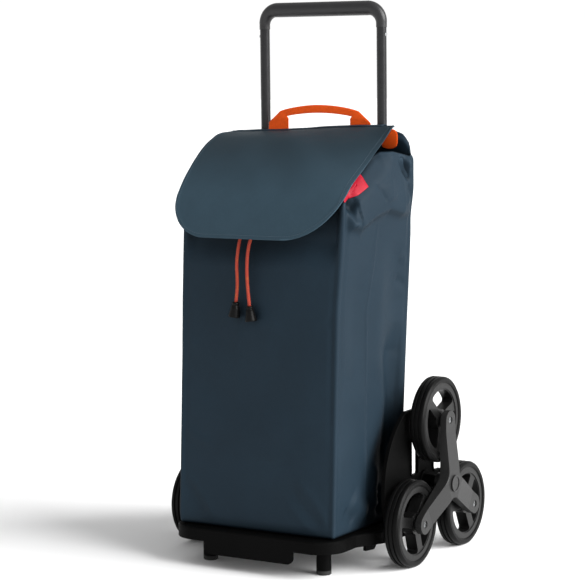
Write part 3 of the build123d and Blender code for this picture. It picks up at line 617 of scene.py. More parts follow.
SIDE_FEATURES = [
    ("ridge", 12, -15.8, [(-166, 664), (-156, 656), (-146, 652)]),
    ("ridge", 8, 7.9, [(-178, 666), (-175, 640), (-162, 626), (-140, 628)]),
    ("overhang", 62, 11.4, [(-172, 630), (-140, 622), (-108, 638), (-60, 652), (-20, 642),
                           (24, 640)]),
    ("crease", 2.6, -2.6, [(-97, 698), (-84, 682), (-69, 660)]),
    ("crease", 2.4, 2.2, [(-80, 640), (-89, 558), (-106, 470), (-105, 326), (-100, 120)]),
    ("ridge", 30, -3.9, [(-128, 560), (-138, 440), (-132, 300)]),
    ("ridge", 26, 4.2, [(-64, 560), (-70, 440), (-72, 330)]),
    ("ridge", 34, -4.4, [(-10, 590), (-22, 520), (-16, 450)]),
    ("ridge", 28, -16.6, [(-14, 450), (-18, 371), (-8, 300), (-14, 219), (-36, 140)]),
    ("ridge", 13, 6.0, [(-66, 190), (-74, 140), (-62, 100)]),
    ("ridge", 9, 5.6, [(-52, 150), (-44, 128), (-52, 100)]),
    ("ridge", 8, -6.3, [(-58, 136), (-50, 112), (-58, 88)]),
    ("ridge", 20, 5.2, [(-150, 140), (-120, 112), (-92, 96)]),
    ("ridge", 12, -3.1, [(-170, 120), (-140, 92)]),
    ("ridge", 9, -11.4, [(-14, 742), (-4, 716), (16, 694)]),
    ("ridge", 8, 7.9, [(2, 738), (12, 714), (24, 700)]),
    ("ridge", 9, -7.9, [(-2, 684), (24, 674)]),
    ("crease", 4, 2.8, [(24, 690), (4, 676), (-10, 650)]),
    ("ridge", 20, 4.2, [(-66, 700), (-52, 660)]),
    ("ridge", 10, 2.8, [(-10, 560), (24, 548)]),
    ("ridge", 9, -2.8, [(-20, 520), (24, 500)]),
]
BACK_FEATURES = [
    ("ridge", 40, 1.6, [(-60, 640), (-50, 420), (-66, 220)]),
    ("ridge", 40, 1.8, [(62, 620), (54, 400), (70, 240)]),
    ("ridge", 30, -2.0, [(0, 560), (4, 300)]),
    ("crease", 5, -0.8, [(-150, 330), (0, 322), (150, 334)]),
    ("ridge", 9, 1.3, [(-160, 180), (-110, 140), (-80, 84)]),
    ("ridge", 9, 1.3, [(150, 200), (118, 150), (84, 90)]),
]


def front_y(z):
    """Y of the front panel at a height."""
    share = (z - Z_BOTTOM) / (Z_NECK_FRONT - Z_BOTTOM)
    return Y_FRONT_LOW + (Y_FRONT_TOP - Y_FRONT_LOW) * share


def rear_half(z):
    """Half-width of the bag's rear at a height."""
    share = np.clip((z - Z_BOTTOM) / (Z_FULL_WIDTH - Z_BOTTOM), 0, 1)
    return HALF_REAR_LOW + (HALF_REAR_TOP - HALF_REAR_LOW) * share


def corner_points(z):
    """The section's four corners at heights z, from the front left round to the rear left."""
    near = front_y(z)
    wide = rear_half(z) + 7 * MM * smoothstep(z, 0.62, 0.69)
    narrow = np.full_like(z, HALF_FRONT)
    swollen = narrow - 2 * MM + 9 * MM * smoothstep(z, 0.45, 0.65)
    far = np.full_like(z, Y_BACK)
    return [np.stack(p, axis=-1) for p in ((-narrow, near), (swollen, near + 5 * MM), (wide, far),
                                           (-wide, far))]


def loop_columns():
    """Columns round the bag: ('corner', index, share) or ('panel', index, share)."""
    columns = []
    for index, name in enumerate(PANEL_NAMES):
        columns += [("corner", index, k / CORNER_STEPS) for k in range(CORNER_STEPS)]
        steps = PANEL_STEPS[name]
        columns += [("panel", index, k / steps) for k in range(steps)]
    return columns


def column_points(column, z):
    """X and Y of one column at heights z: on a rounded corner, or on the panel after it."""
    kind, index, share = column
    corners = corner_points(z)

    def towards(start, end):
        here = corners[start % 4]
        away = corners[end % 4] - here
        away /= np.linalg.norm(away, axis=-1, keepdims=True)
        return here + away * CORNER_RADII[start % 4]

    leave = towards(index, index + 1)
    if kind == "panel":
        return leave + (towards(index + 1, index) - leave) * share
    return ((1 - share) ** 2 * towards(index, index - 1)
            + 2 * share * (1 - share) * corners[index] + share ** 2 * leave)


def back_top(x):
    """Height of the back panel's rounded top edge, a little lower on the left."""
    outline_x = [0.0, 0.150, 0.164, 0.180, 0.190, HALF_REAR_TOP + 7 * MM]
    fall = np.array([0, 0, 1, 6, 17, 39]) * MM
    sag = np.interp(x, [-LID_HALF, -0.06, 0.05], [9 * MM, 7 * MM, 0])
    return Z_BACK_TOP - np.interp(abs(x), outline_x, fall) - sag


SIDE_TOP_Y = np.array([-186, -140, -109, -75, -60, -34, -8, 15, 26]) * MM
SIDE_TOP_Z = np.array([660, 700, 721, 742, 749, 749, 744, 739, 745]) * MM


def top_edge(columns):
    """Height of the bag's top edge at each column."""
    heights = []
    for kind, index, share in columns:
        x, y = column_points((kind, index, share), np.array([Z_NECK_MIDDLE]))[0]
        rearward = kind == "panel" and PANEL_NAMES[index] == "back"
        heights.append(back_top(x) if rearward else np.interp(y, SIDE_TOP_Y, SIDE_TOP_Z))
    return np.array(heights)


def panel_displacement(name, across, z, top):
    """Outward shape of one panel, in metres: its belly and its sculpted folds."""
    rise = (z - Z_BOTTOM) / (top - Z_BOTTOM)
    if name == "front":
        belly = 4.0 * MM * np.sin(np.pi * np.clip(rise, 0, 1)) * np.cos(across / 0.162 * 1.45)
        turn = 4.5 * MM * smoothstep(across, -0.16, 0.09) * (1 - smoothstep(across, 0.09, 0.17))
        recess = 11.0 * MM * smoothstep(z, 0.545, 0.60)
        return belly + turn - recess + sculpt(across, z, FRONT_FEATURES)
    if name == "back":
        return 1.0 * MM * np.sin(np.pi * rise) + sculpt(across, z, BACK_FEATURES)
    belly = 3.0 * MM * np.sin(np.pi * np.clip(rise, 0, 1))
    belly += 4.0 * MM * np.exp(-((z - 0.640) / 0.035) ** 2)
    if name == "left":
        shifted = [(kind, width, height * 0.85, [(y + 9, h - 26) for y, h in line])
                   for kind, width, height, line in SIDE_FEATURES[3:14]]
        return belly + sculpt(across, z, shifted + SIDE_FEATURES[14:])
    return belly + sculpt(across, z, SIDE_FEATURES)


def soft_wander(points):
    """Gentle uneven noise at a grid of points, from every second one, then blurred."""
    few = points[::2, ::2]
    wander = fractal(few.reshape(-1, 3), 0.12, 2, 3.1).reshape(few.shape[:2])
    wander = np.repeat(np.repeat(wander, 2, axis=0), 2, axis=1)[:len(points), :points.shape[1]]
    for _ in range(3):
        wander = (wander + np.roll(wander, 1, 1) + np.roll(wander, -1, 1)
                  + np.vstack([wander[:1], wander[:-1]])
                  + np.vstack([wander[1:], wander[-1:]])) / 5
    return wander


def bag_walls():
    """The four walls as a (rows, columns, 3) array, sculpted."""
    columns = loop_columns()
    edge = top_edge(columns)
    rise = np.linspace(0, 1, WALL_ROWS)[:, None]
    z = Z_BOTTOM + rise * (edge[None, :] - Z_BOTTOM)
    flat = np.stack([column_points(c, z[:, j]) for j, c in enumerate(columns)], axis=1)
    ahead = np.roll(flat, -1, axis=1) - np.roll(flat, 1, axis=1)
    ahead /= np.linalg.norm(ahead, axis=2, keepdims=True)
    outward = np.stack([ahead[:, :, 1], -ahead[:, :, 0]], axis=2)
    points = np.concatenate([flat, z[:, :, None]], axis=2)
    wander = soft_wander(points)
    shape = np.zeros(z.shape)
    for index, name in enumerate(PANEL_NAMES):
        chosen = [j for j, c in enumerate(columns) if c[0] == "panel" and c[1] == index]
        share = np.array([columns[j][2] for j in chosen])
        across = flat[:, chosen, 0] if name in ("front", "back") else flat[:, chosen, 1]
        away = np.minimum(share, 1 - share) * PANEL_WIDTHS[name]
        fade = smoothstep(away, 0.0, 0.014)[None, :]
        field = panel_displacement(name, across, z[:, chosen], edge[chosen][None, :])
        seam = 1.0 * MM * np.exp(-(away / 0.0022) ** 2)[None, :]
        shape[:, chosen] = fade * (field + 1.3 * MM * wander[:, chosen]) + seam
    for j, column in enumerate(columns):
        if column[0] == "corner":
            shape[:, j] += 1.0 * MM + 0.9 * MM * math.sin(math.pi * column[2])
            shape[:, j] += 0.7 * MM * wander[:, j]
    held = smoothstep(edge[None, :] - z, 0.0, 0.016)
    pulled = smoothstep(z - Z_BOTTOM, 0.0, 0.022)
    shape *= (0.35 + 0.65 * held) * (0.3 + 0.7 * pulled)
    foot = 1 - np.clip((z - Z_BOTTOM) / 0.008, 0, 1)
    tuck = 6.0 * MM * (1 - np.sqrt(1 - foot ** 2))
    round_top = 4.0 * MM * (1 - smoothstep(edge[None, :] - z, 0.0, 0.010))
    y = flat[:, :, 1]
    beneath_lid = smoothstep(y, -0.180, -0.145) * (1 - smoothstep(y, -0.072, -0.040))
    beside = np.abs(outward[:, :, 0]) ** 4
    lean = 17 * MM * beneath_lid * beside * smoothstep(z, edge[None, :] - 0.042, edge[None, :])
    points[:, :, :2] += outward * (shape - tuck - round_top - lean)[:, :, None]
    points[:, :, 1] = np.minimum(points[:, :, 1], BACK_HIGH.y)
    return points


MOUTH_X, MOUTH_Y = 0.120, 0.057          # half the gathered mouth's width and depth
PLEATS = 27
CHANNEL_PROFILE = ((2.5, 1.5), (5.5, 3.2), (8.5, 2.4), (10.5, 0.2), (9.5, -2.5), (6.0, -3.6),
                   (1.5, -3.4))          # lift and spread of its rolled channel, in mm


def collar_points(rim):
    """Rows from the bag's top edge in to the gathered mouth, and up its channel."""
    middle_y = (CHANNEL_LOW.y + CHANNEL_HIGH.y) / 2
    angle = np.array([math.atan2(p[1] - middle_y, p[0] * 0.52) for p in rim])
    angle = np.unwrap(angle)
    wobble = 0.35 * np.sin(3 * angle + 0.8) + 0.22 * np.sin(7 * angle + 2.1)
    pleats = PLEATS * angle + 2.4 * wobble
    mouth = np.stack([MOUTH_X * np.cos(angle), middle_y + MOUTH_Y * np.sin(angle)], axis=1)
    mouth_z = Z_NECK_FRONT + NECK_SLOPE * (mouth[:, 1] - Y_FRONT_TOP)
    rows = []
    for r in np.linspace(0, 1, COLLAR_ROWS)[1:]:
        steep = smoothstep(rim[:, [1]], 0.0, 0.024)
        inward = r ** (1.25 + 2.2 * steep)
        down = 1 - (1 - r) ** 4
        flat = rim[:, :2] + (mouth - rim[:, :2]) * inward
        height = rim[:, 2] + (mouth_z - rim[:, 2]) * down
        rear = smoothstep(rim[:, 1], -0.11, 0.01)
        outer = smoothstep(np.abs(rim[:, 0]), 0.10, 0.17)
        sag = 7 * MM + 26 * MM * rear * outer
        height -= sag * np.sin(np.pi * min(1.0, r ** 0.55)) ** 1.2
        height += (1.0 + 5.5 * r) * MM * r * np.sin(pleats) * (0.6 + 0.4 * np.sin(5 * angle))
        rows.append(np.column_stack([flat, height]))
    last = rows[-1]
    for lift, spread in CHANNEL_PROFILE:
        out = np.column_stack([np.cos(angle), np.sin(angle)])
        ruffle = 1.5 * MM * np.sin(pleats * 2 + 0.7) * min(1.0, lift / 6)
        flat = mouth + out * (spread * MM + ruffle[:, None] * 0.6)
        height = mouth_z + lift * MM + ruffle * 0.5
        rows.append(np.column_stack([flat, height + (last[:, 2] - mouth_z) * 0.3]))
    return np.array(rows)


def bottom_points(ring):
    """Rows from the middle of the bag's bottom out to the foot of its walls."""
    middle = np.array([0.0, (Y_FRONT_LOW + Y_BACK) / 2, Z_BOTTOM])
    rows = []
    for share in (0.02, 0.35, 0.7, 0.9, 0.97):
        row = middle + (ring - middle) * share
        row[:, 2] = Z_BOTTOM
        rows.append(row)
    return np.array(rows)


def make_bag():
    """One continuous sewn shell: bottom, four walls, gathered collar and its channel."""
    walls = bag_walls()
    points = np.concatenate([bottom_points(walls[0]), walls, collar_points(walls[-1])], axis=0)
    rows, count = points.shape[:2]
    faces = grid_faces(rows, count, closed=True)
    faces.append(tuple(range(count))[::-1])
    bag = link_grid("bag_shell", points, faces)
    finish_piece(bag, FABRIC_MAT, "frame",
                 ["bag_front", "bag_back", "bag_side_left", "bag_side_right", "bag_bottom",
                  "bag_neck", "drawstring_channel"])
    add_modifier(bag, "SOLIDIFY", thickness=1.3 * MM, offset=-1.0)
    fold_with_tray(bag)
    return bag


# ------------------------------------------------------------------ lid
LID_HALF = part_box("lid_flap")[1].x
LID_CENTRE = [(22, 797), (-25, 787), (-92, 762), (-150, 722), (-190, 676), (-215, 630),
              (-226, 600)]
LID_RIGHT_EDGE = [(6, 796), (-8, 790), (-42, 766), (-109, 724), (-165, 689), (-198, 650),
                  (-216, 604)]
# the lid's rear edge hangs a little lower towards the left
LID_SAG = ([-LID_HALF, -60 * MM, 50 * MM, LID_HALF], [15 * MM, 12 * MM, 5 * MM, 2 * MM])
LID_CORNER = 0.079
LID_CORNER_RIGHT = 0.104
LID_ROWS = 110
LID_SPAN = 60
LID_SAMPLES = 600
LID_THICK = 2.6 * MM
LID_HEM = 8.0 * MM
LID_ROOT_TURN = 13 * MM                  # how far the rear corners curl forwards


def even_points(outline, count):
    """A smooth line through an outline in millimetres, as evenly spaced points in metres."""
    ends = np.array([outline[0], *outline, outline[-1]], float)
    dense = []
    for p0, p1, p2, p3 in zip(ends, ends[1:], ends[2:], ends[3:]):
        for t in np.linspace(0, 1, 24, endpoint=False):
            dense.append(0.5 * (2 * p1 + (p2 - p0) * t + (2 * p0 - 5 * p1 + 4 * p2 - p3) * t ** 2
                                + (3 * p1 - p0 - 3 * p2 + p3) * t ** 3))
    dense = np.array([*dense, ends[-1]]) * MM
    travelled = distances(dense)
    even = np.linspace(0, travelled[-1], count)
    return np.stack([np.interp(even, travelled, dense[:, k]) for k in range(2)], axis=1)


def corner_radius(x):
    return LID_CORNER if x < 0 else LID_CORNER_RIGHT


def lid_outline():
    """X of each column and how far down the lid it reaches, as shares of the whole drop."""
    bend = [(1 - math.sin(a), math.cos(a)) for a in np.radians(np.linspace(90, 0, 17))]
    left = [(-LID_HALF + LID_CORNER * aside, drop) for aside, drop in bend]
    flat = np.linspace(-LID_HALF + LID_CORNER, LID_HALF - LID_CORNER_RIGHT, LID_SPAN)[1:-1]
    right = [(LID_HALF - LID_CORNER_RIGHT * aside, drop) for aside, drop in reversed(bend)]
    return left + [(x, 1.0) for x in flat] + right


def lid_points():
    """The lid's upper surface: crowned in the middle, drawn down along its right edge."""
    centre = even_points(LID_CENTRE, LID_SAMPLES)
    edge = even_points(LID_RIGHT_EDGE, LID_SAMPLES)
    length = float(np.sum(np.linalg.norm(np.diff(centre, axis=0), axis=1)))
    columns = lid_outline()
    down = np.linspace(0, 1, LID_ROWS)
    rooted = 1 - smoothstep(down, 0.0, 0.30)
    grid = np.zeros((LID_ROWS, len(columns), 3))
    for j, (x, drop) in enumerate(columns):
        reach = 1 - corner_radius(x) * (1 - drop) / length
        sample = down * reach * (LID_SAMPLES - 1)
        index = np.arange(LID_SAMPLES)
        middle, side = [np.stack([np.interp(sample, index, c[:, k]) for k in range(2)], axis=1)
                        for c in (centre, edge)]
        share = abs(x) / LID_HALF
        weight = share ** 2.4 if x > 0 else 0.16 * share ** 3
        profile = middle * (1 - weight) + side * weight
        profile[:, 0] -= LID_ROOT_TURN * share ** 8 * rooted * (1 if x < 0 else 0.3)
        profile[:, 1] -= np.interp(x, *LID_SAG) * rooted
        drawn = smoothstep(down, 0.40, 0.80) if x < 0 else 0.0
        grid[:, j, 0] = x + 4.2 * MM * share ** 4 * drawn
        grid[:, j, 1:] = profile
    return grid, length


def lid_folds(grid, length):
    """Heights of the lid's soft folds above its smooth surface, in metres."""
    x = grid[:, :, 0]
    down = np.linspace(0, 1, LID_ROWS)[:, None] * length
    features = [
        ("ridge", 34, 2.2, [(-40, 70), (60, 160), (120, 260)]),
        ("ridge", 30, -1.6, [(20, 60), (110, 150), (160, 210)]),
        ("ridge", 26, 1.2, [(-120, 90), (-20, 210), (40, 300)]),
        ("ridge", 40, -1.0, [(-150, 190), (-60, 280)]),
        ("crease", 9, 0.35, [(90, 20), (150, 96), (172, 140)]),
        ("ridge", 10, 0.8, [(-165, 12), (-150, 60)]),
    ]
    lengthwise = np.broadcast_to(down, x.shape)
    folds = sculpt(x, lengthwise, features)
    wander = fractal(grid.reshape(-1, 3), 0.16, 2, 9.0).reshape(x.shape)
    free = smoothstep(lengthwise, 0.004, 0.05)
    return free * (folds + 1.0 * MM * wander)


def surface_normals(grid):
    across = np.gradient(grid, axis=1)
    down = np.gradient(grid, axis=0)
    normals = np.cross(down, across)
    normals /= np.linalg.norm(normals, axis=2, keepdims=True)
    return np.where(normals[:, :, [2]] < -0.2, -normals, normals)


def lid_inset(columns, length):
    """How far inside the lid's free outline each of its points lies."""
    corner = np.array([corner_radius(x) for x, _ in columns])[None, :]
    reach = length - corner * (1 - np.array([drop for _, drop in columns])[None, :])
    aside = LID_HALF - np.abs(np.array([x for x, _ in columns]))[None, :]
    below = length - np.linspace(0, 1, LID_ROWS)[:, None] * reach
    rounded = corner - np.hypot(np.clip(corner - aside, 0, None), np.clip(corner - below, 0, None))
    return np.where((aside < corner) & (below < corner), rounded, np.minimum(aside, below))


def make_lid():
    """The flap: a single sheet with a folded hem, sewn along its rear edge."""
    grid, length = lid_points()
    normals = surface_normals(grid)
    grid = grid + normals * lid_folds(grid, length)[:, :, None]
    columns = lid_outline()
    inset = lid_inset(columns, length)
    hem = 0.5 * MM * (1 - smoothstep(inset, LID_HEM - 1.2 * MM, LID_HEM))
    grid = grid + normals * (hem - LID_THICK / 2 - 0.2 * MM)[:, :, None]
    grid[:, :, 0] = np.clip(grid[:, :, 0], -LID_HALF, LID_HALF)
    lid = link_grid("lid_cloth", grid)
    finish_piece(lid, LID_MAT, "lid", ["lid_flap"])
    add_modifier(lid, "SOLIDIFY", thickness=LID_THICK, offset=0.0)
    add_modifier(lid, "BEVEL", width=0.7 * MM, segments=2, limit_method="ANGLE",
                 angle_limit=math.radians(55))
    stitches = lid_stitches(grid, normals, columns, LID_HEM - 2.2 * MM)
    fold_with_tray(lid)
    fold_with_tray(stitches)


STITCH_RINGS = ((0.0, 0.25), (0.16, 0.85), (0.5, 1.0), (0.84, 0.85), (1.0, 0.25))


def make_stitches(name, path, lifts, pitch=4.2 * MM, length=2.9 * MM, radius=0.42 * MM):
    """A row of short thread stitches along a path of points, each lifted off its surface."""
    travelled = distances(path)
    points, faces = [], []
    sides = 6

    def at(distance):
        place = [np.interp(distance, travelled, path[:, k]) for k in range(3)]
        lift = [np.interp(distance, travelled, lifts[:, k]) for k in range(3)]
        return Vector(place), Vector(lift).normalized()

    for start in np.arange(0.5 * pitch, travelled[-1] - length, pitch):
        base = len(points)
        for share, fat in STITCH_RINGS:
            centre, lift = at(start + share * length)
            ahead = (at(start + length)[0] - at(start)[0]).normalized()
            across = ahead.cross(lift).normalized()
            centre = centre + lift * radius * (0.9 * math.sin(math.pi * share) - 0.35)
            for k in range(sides):
                turn = 2 * math.pi * k / sides
                points.append(centre + radius * fat * (math.cos(turn) * across
                                                       + math.sin(turn) * lift))
        faces += [tuple(base + k for k in face) for face in tube_faces(len(STITCH_RINGS), sides)]
    return link_mesh(name, points, faces)


def lid_stitches(grid, normals, columns, inset):
    """One row of stitches inside the hem, round the lid's free edges."""
    rows, count = grid.shape[:2]
    first = next(k for k, (x, _) in enumerate(columns) if x >= -LID_HALF + inset)
    last = count - 1 - first
    height = np.linalg.norm(np.diff(grid, axis=0), axis=2)
    places = [(i, first) for i in range(4, rows - 2)]
    for j in range(first, last + 1):
        fall = np.cumsum(height[::-1, j])
        places.append((rows - 2 - int(np.searchsorted(fall, inset)), j))
    places += [(i, last) for i in range(rows - 6, 3, -1)]
    kept = places[:1]
    for place in places[1:]:
        if np.linalg.norm(grid[place] - grid[kept[-1]]) > 1.0 * MM:
            kept.append(place)
    lifts = np.array([normals[place] for place in kept])
    path = np.array([grid[place] for place in kept]) + lifts * (LID_THICK / 2)
    stitches = make_stitches("lid_hem_stitches", path, lifts)
    return finish_piece(stitches, THREAD_MAT, "lid")


def make_hinge_strip():
    """The lid's sewn root: a strip that goes over the back panel's top edge."""
    outline = [(27.6, 756), (27.9, 776), (27.4, 789), (24.5, 796), (19.0, 797.4), (8.0, 795.2)]
    profile = even_points(outline, 22)
    xs = np.linspace(-LID_HALF + 6 * MM, LID_HALF - 28 * MM, 90)
    grid = np.zeros((len(profile), len(xs), 3))
    grid[:, :, 0] = xs[None, :]
    grid[:, :, 1] = profile[:, [0]] + 0.3 * MM
    sag = np.interp(xs, *LID_SAG)[None, :] * smoothstep(profile[:, [1]], 0.756, 0.776)
    grid[:, :, 2] = profile[:, [1]] + 0.25 * MM * np.sin(xs * 90)[None, :] - sag
    ahead = smoothstep(-profile[:, [0]], -0.026, -0.010)
    grid[:, :, 1] -= 12 * MM * (np.abs(xs[None, :]) / LID_HALF) ** 8 * ahead
    strip = link_grid("lid_hinge_strip", grid)
    strip.data.materials.append(FABRIC_MAT)
    add_modifier(strip, "SOLIDIFY", thickness=1.0 * MM, offset=0.0)
    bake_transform(strip)


def make_eyelets():
    """Two rolled steel eyelets in the mouth's channel, where the drawcord comes out."""
    low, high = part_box("cord_eyelets")
    radius = (high.z - low.z) / 2
    roll = 1.9 * MM
    middle_y = (low.y + high.y) / 2
    middle_z = (low.z + high.z) / 2
    rows, columns = 36, 14
    around, turn = np.meshgrid(np.arange(rows) / rows, np.arange(columns) / columns, indexing="ij")
    around, turn = 2 * math.pi * around, 2 * math.pi * turn
    reach = radius - roll + roll * np.cos(turn)
    faces = [tuple(k % (rows * columns) for k in face)
             for face in grid_faces(rows + 1, columns, closed=True)]
    for side, s in (("left", -1), ("right", 1)):
        grid = np.stack([s * (high.x - radius) + reach * np.cos(around),
                         middle_y + 0.55 * roll * np.sin(turn),
                         middle_z + reach * np.sin(around)], axis=2)
        eyelet = link_mesh(f"eyelet_{side}", grid.reshape(-1, 3), faces)
        finish_piece(eyelet, STEEL_MAT, "frame",
                     ["cord_eyelets"] if side == "right" else ())
        fold_with_tray(eyelet)


# ------------------------------------------------------------------ webbing and label
def make_strap(name, stations, thickness, replaced, across=14):
    """Rounded webbing lofted through stations of (one edge, other edge, thickness share)."""
    rows = []
    for one, other, share in stations:
        one, other = Vector(one), Vector(other)
        middle = (one + other) / 2
        half = (one - other) / 2
        ring = []
        for k in range(2 * across):
            turn = 2 * math.pi * k / (2 * across)
            wide = math.copysign(abs(math.cos(turn)) ** 0.35, math.cos(turn))
            deep = math.copysign(abs(math.sin(turn)) ** 0.45, math.sin(turn))
            ring.append(middle + half * wide + Vector((0, 1, 0)) * deep * thickness * share / 2)
        rows.append(ring)
    grid = np.array([[tuple(p) for p in ring] for ring in rows])
    strap = link_grid(name, grid, tube_faces(*grid.shape[:2]))
    return finish_piece(strap, WEBBING_MAT, "frame", [replaced])


def blend_stations(keys, steps):
    """Stations filled in between key stations of (outer, inner, thickness share) in mm."""
    at = np.linspace(0, len(keys) - 1, steps * (len(keys) - 1) + 1)
    whole = np.array([(*outer, *inner, share / MM) for outer, inner, share in keys]) * MM
    filled = np.stack([np.interp(at, np.arange(len(keys)), column) for column in whole.T], axis=1)
    return [(row[:3], row[3:6], row[6]) for row in filled]


def make_carry_handle():
    """Webbing grab handle: flat legs turned over at the corners into a folded, arched grip."""
    y = 1000 * (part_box("carry_handle")[0].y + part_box("carry_handle")[1].y) / 2
    half = [((110.5, y, 700), (66, y, 700), 0.40), ((110.5, y, 770), (66, y, 770), 0.40),
            ((109, y, 797), (66, y, 801), 0.45), ((105, y, 801), (66, y, 804), 0.85),
            ((95, y, 809), (67.5, y, 806.5), 0.95), ((84, y, 818.5), (70, y, 808.5), 1.0)]
    arch = []
    for share in np.linspace(0, 1, 16)[1:-1]:
        bow = math.sin(math.pi * share) ** 0.8
        arch.append(((84 - 168 * share, y, 818.5 + 11.5 * bow),
                     (70 - 140 * share, y, 808.5 + 6.5 * bow), 1.0))
    mirrored = [((-o[0], o[1], o[2]), (-i[0], i[1], i[2]), t) for o, i, t in reversed(half)]
    stations = blend_stations(half + arch + mirrored, 3)
    make_strap("carry_handle_webbing", stations, 3.9 * MM, "carry_handle")
    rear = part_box("carry_handle")[1].y - 1.2 * MM
    corners = [(70, 708), (101, 708), (101, 748), (70, 748), (70, 708), (101, 748), (70, 748),
               (101, 708)]
    for side, s in (("left", -1), ("right", 1)):
        points = [(s * (x1 + (x2 - x1) * share) * MM, rear, (z1 + (z2 - z1) * share) * MM)
                  for (x1, z1), (x2, z2) in zip(corners, corners[1:])
                  for share in np.linspace(0, 1, 10, endpoint=False)]
        stitches = make_stitches(f"carry_handle_stitches_{side}", np.array(points),
                                 np.tile((0.0, 1.0, 0.0), (len(points), 1)))
        finish_piece(stitches, ORANGE_THREAD_MAT, "frame")


def make_hang_tabs():
    """A rounded loop of webbing at each rear corner."""
    for side in ("left", "right"):
        low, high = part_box(f"hang_tab_{side}")
        centre_x = (low.x + high.x) / 2
        centre_y = (low.y + high.y) / 2
        half = (high.x - low.x) / 2
        radius = 0.013
        drop = 10 * MM if side == "left" else 1 * MM
        keys = []
        for z in np.linspace(low.z, high.z, 22):
            from_end = min(z - low.z, high.z - z)
            narrow = radius - math.sqrt(max(0.0, radius ** 2 - max(0.0, radius - from_end) ** 2))
            wide = max(half - narrow, 2 * MM)
            bow = 1.2 * MM * math.sin(math.pi * (z - low.z) / (high.z - low.z))
            y = centre_y - 1.6 * MM - bow
            keys.append(((centre_x - wide, y, z - drop), (centre_x + wide, y, z - drop), 0.9))
        fold_with_tray(make_strap(f"hang_tab_webbing_{side}", keys, 3.2 * MM,
                                  f"hang_tab_{side}"))


LABEL_RINGS = 7
LABEL_EDGE_STEPS = 8
LABEL_INNERMOST = 0.150                  # nearer the middle, a ray has missed the bag's side


def make_side_label(bag):
    """The plain crimson label, lying on the bag's side with its top edge under the lid."""
    corners = [(-182, 663), (-130, 708), (-109, 724), (-113, 702), (-114, 690), (-150, 672)]
    surface = BVHTree.FromPolygons([v.co for v in bag.data.vertices],
                                   [f.vertices for f in bag.data.polygons])
    under = HALF_FRONT
    outline = [Vector((0, y * MM, z * MM)) for y, z in corners]
    centre = sum(outline, Vector()) / len(outline)
    rows = []
    for share in np.linspace(0, 1, LABEL_RINGS + 1):
        row = []
        for a, b in zip(outline, outline[1:] + outline[:1]):
            for step in range(LABEL_EDGE_STEPS):
                q = centre.lerp(a.lerp(b, step / LABEL_EDGE_STEPS), max(share, 0.01))
                for _ in range(20):
                    hit = surface.ray_cast(Vector((0.3, q.y, q.z)), Vector((-1, 0, 0)))[0]
                    if hit and hit.x > LABEL_INNERMOST:
                        under = hit.x
                        break
                    q = q.lerp(centre, 0.02)
                row.append((under + (0.9 + 1.0 * (1 - share ** 2)) * MM, q.y, q.z))
        rows.append(row)
    grid = np.array(rows)
    faces = grid_faces(*grid.shape[:2], closed=True)
    uvs = grid.reshape(-1, 3)[:, 1:]
    label = link_mesh("side_label_cloth", grid.reshape(-1, 3), faces, uvs)
    finish_piece(label, LABEL_MAT, "frame", ["side_label"])
    add_modifier(label, "SOLIDIFY", thickness=0.8 * MM, offset=0.0)
    settle(label)
    fold_with_tray(label)


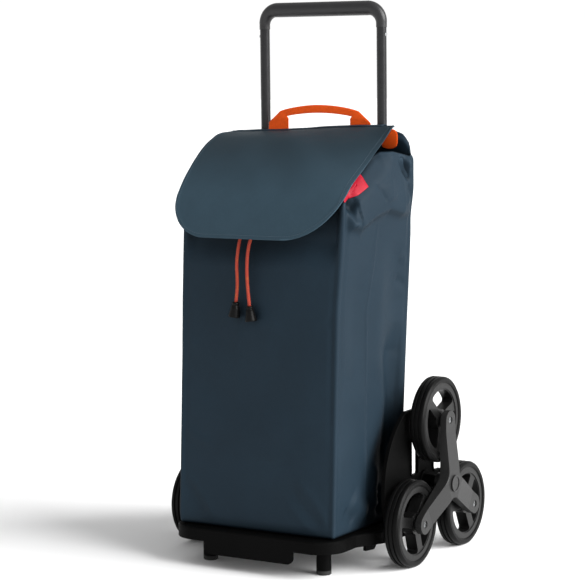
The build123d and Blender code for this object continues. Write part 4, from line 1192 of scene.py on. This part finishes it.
def make_sleeves():
    """Fabric tunnels that hold the bag to the uprights, with a sewn seam down each flap."""
    for side, s in (("left", -1), ("right", 1)):
        low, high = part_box(f"bag_sleeve_{side}")
        tube_x = (low.x + high.x) / 2
        radius = (high.x - low.x) / 2
        tube_y = high.y - radius
        panel_y = BACK_HIGH.y + 0.6 * MM
        wing = 0.019
        left = [(tube_x - wing + (wing - radius) * k / 10, panel_y) for k in range(10)]
        left += [(tube_x - radius, panel_y + (tube_y - panel_y) * k / 11) for k in range(11)]
        over = [(tube_x + radius * math.cos(a), tube_y + radius * math.sin(a))
                for a in np.linspace(math.pi, 0, 33)]
        outline = left + over + [(2 * tube_x - x, y) for x, y in reversed(left)]
        heights = np.linspace(low.z, high.z, 90)
        grid = np.zeros((len(heights), len(outline), 3))
        for i, z in enumerate(heights):
            for j, (x, y) in enumerate(outline):
                loose = 0.9 * MM * min(0.0, noise.noise(Vector((x * 60, y * 60, z * 38 + 5 * s))))
                loose *= 1.0 if y > panel_y + 2 * MM else 0.1
                grid[i, j] = Vector((x, y, z)) + loose * Vector((x - tube_x, y - tube_y,
                                                                 0)).normalized()
        sleeve = link_grid(f"sleeve_cloth_{side}", grid)
        finish_piece(sleeve, FABRIC_MAT, "frame", [f"bag_sleeve_{side}"])
        add_modifier(sleeve, "SOLIDIFY", thickness=1.1 * MM, offset=0.0)
        for edge in (-1, 1):
            x = tube_x + edge * (wing - 3 * MM)
            path = np.array([(x, panel_y + 0.7 * MM, z) for z in heights[2:-2]])
            seam = make_stitches(f"sleeve_stitches_{side}_{'outer' if edge * s > 0 else 'inner'}",
                                 path, np.tile((0.0, 1.0, 0.0), (len(path), 1)))
            finish_piece(seam, THREAD_MAT, "frame")


# ------------------------------------------------------------------ stage and light
def make_stage():
    """A wide round white floor."""
    segments = 96
    radii = (1.5, 4.0, 12.0, 45.0)
    turns = [2 * math.pi * k / segments for k in range(segments)]
    points = [(0.0, 0.0, 0.0)] + [(radius * math.cos(a), radius * math.sin(a), 0.0)
                                  for radius in radii for a in turns]
    faces = [(0, 1 + k, 1 + (k + 1) % segments) for k in range(segments)]
    faces += [tuple(1 + i for i in reversed(face))
              for face in grid_faces(len(radii), segments, closed=True)]
    floor = link_mesh("studio_floor", points, faces, smooth=False)
    floor.data.materials.append(stage_material())


def make_sun():
    """A strong, soft key light from the right."""
    data = bpy.data.lights.new("key", "SUN")
    data.energy = 6.4
    data.angle = math.radians(50)
    light = bpy.data.objects.new("key", data)
    light.rotation_mode = "QUATERNION"
    light.rotation_quaternion = Vector((1.8, 0.12, 0.95)).to_track_quat("Z", "Y")
    bpy.context.scene.collection.objects.link(light)


def make_world():
    """A white surround, bright at the horizon and dimmer overhead."""
    world = bpy.data.worlds.new("studio")
    world.use_nodes = True
    tree = world.node_tree
    where = node(tree, "ShaderNodeTexCoord").outputs["Generated"]
    up = node(tree, "ShaderNodeSeparateXYZ", Vector=where).outputs["Z"]
    feed(tree, tree.nodes["Background"], Color=(1, 1, 1, 1),
         Strength=carry(tree, up, 0.10, 0.45, 1.02, 0.58, "SMOOTHSTEP"))
    bpy.context.scene.world = world


# ------------------------------------------------------------------ build
make_camera()
dress_cad_nodes()
make_cords()
bag_shell = make_bag()
make_lid()
make_hinge_strip()
make_carry_handle()
make_hang_tabs()
make_side_label(bag_shell)
make_sleeves()
make_eyelets()
make_stage()
make_world()
make_sun()
bpy.context.scene.view_settings.view_transform = "Standard"
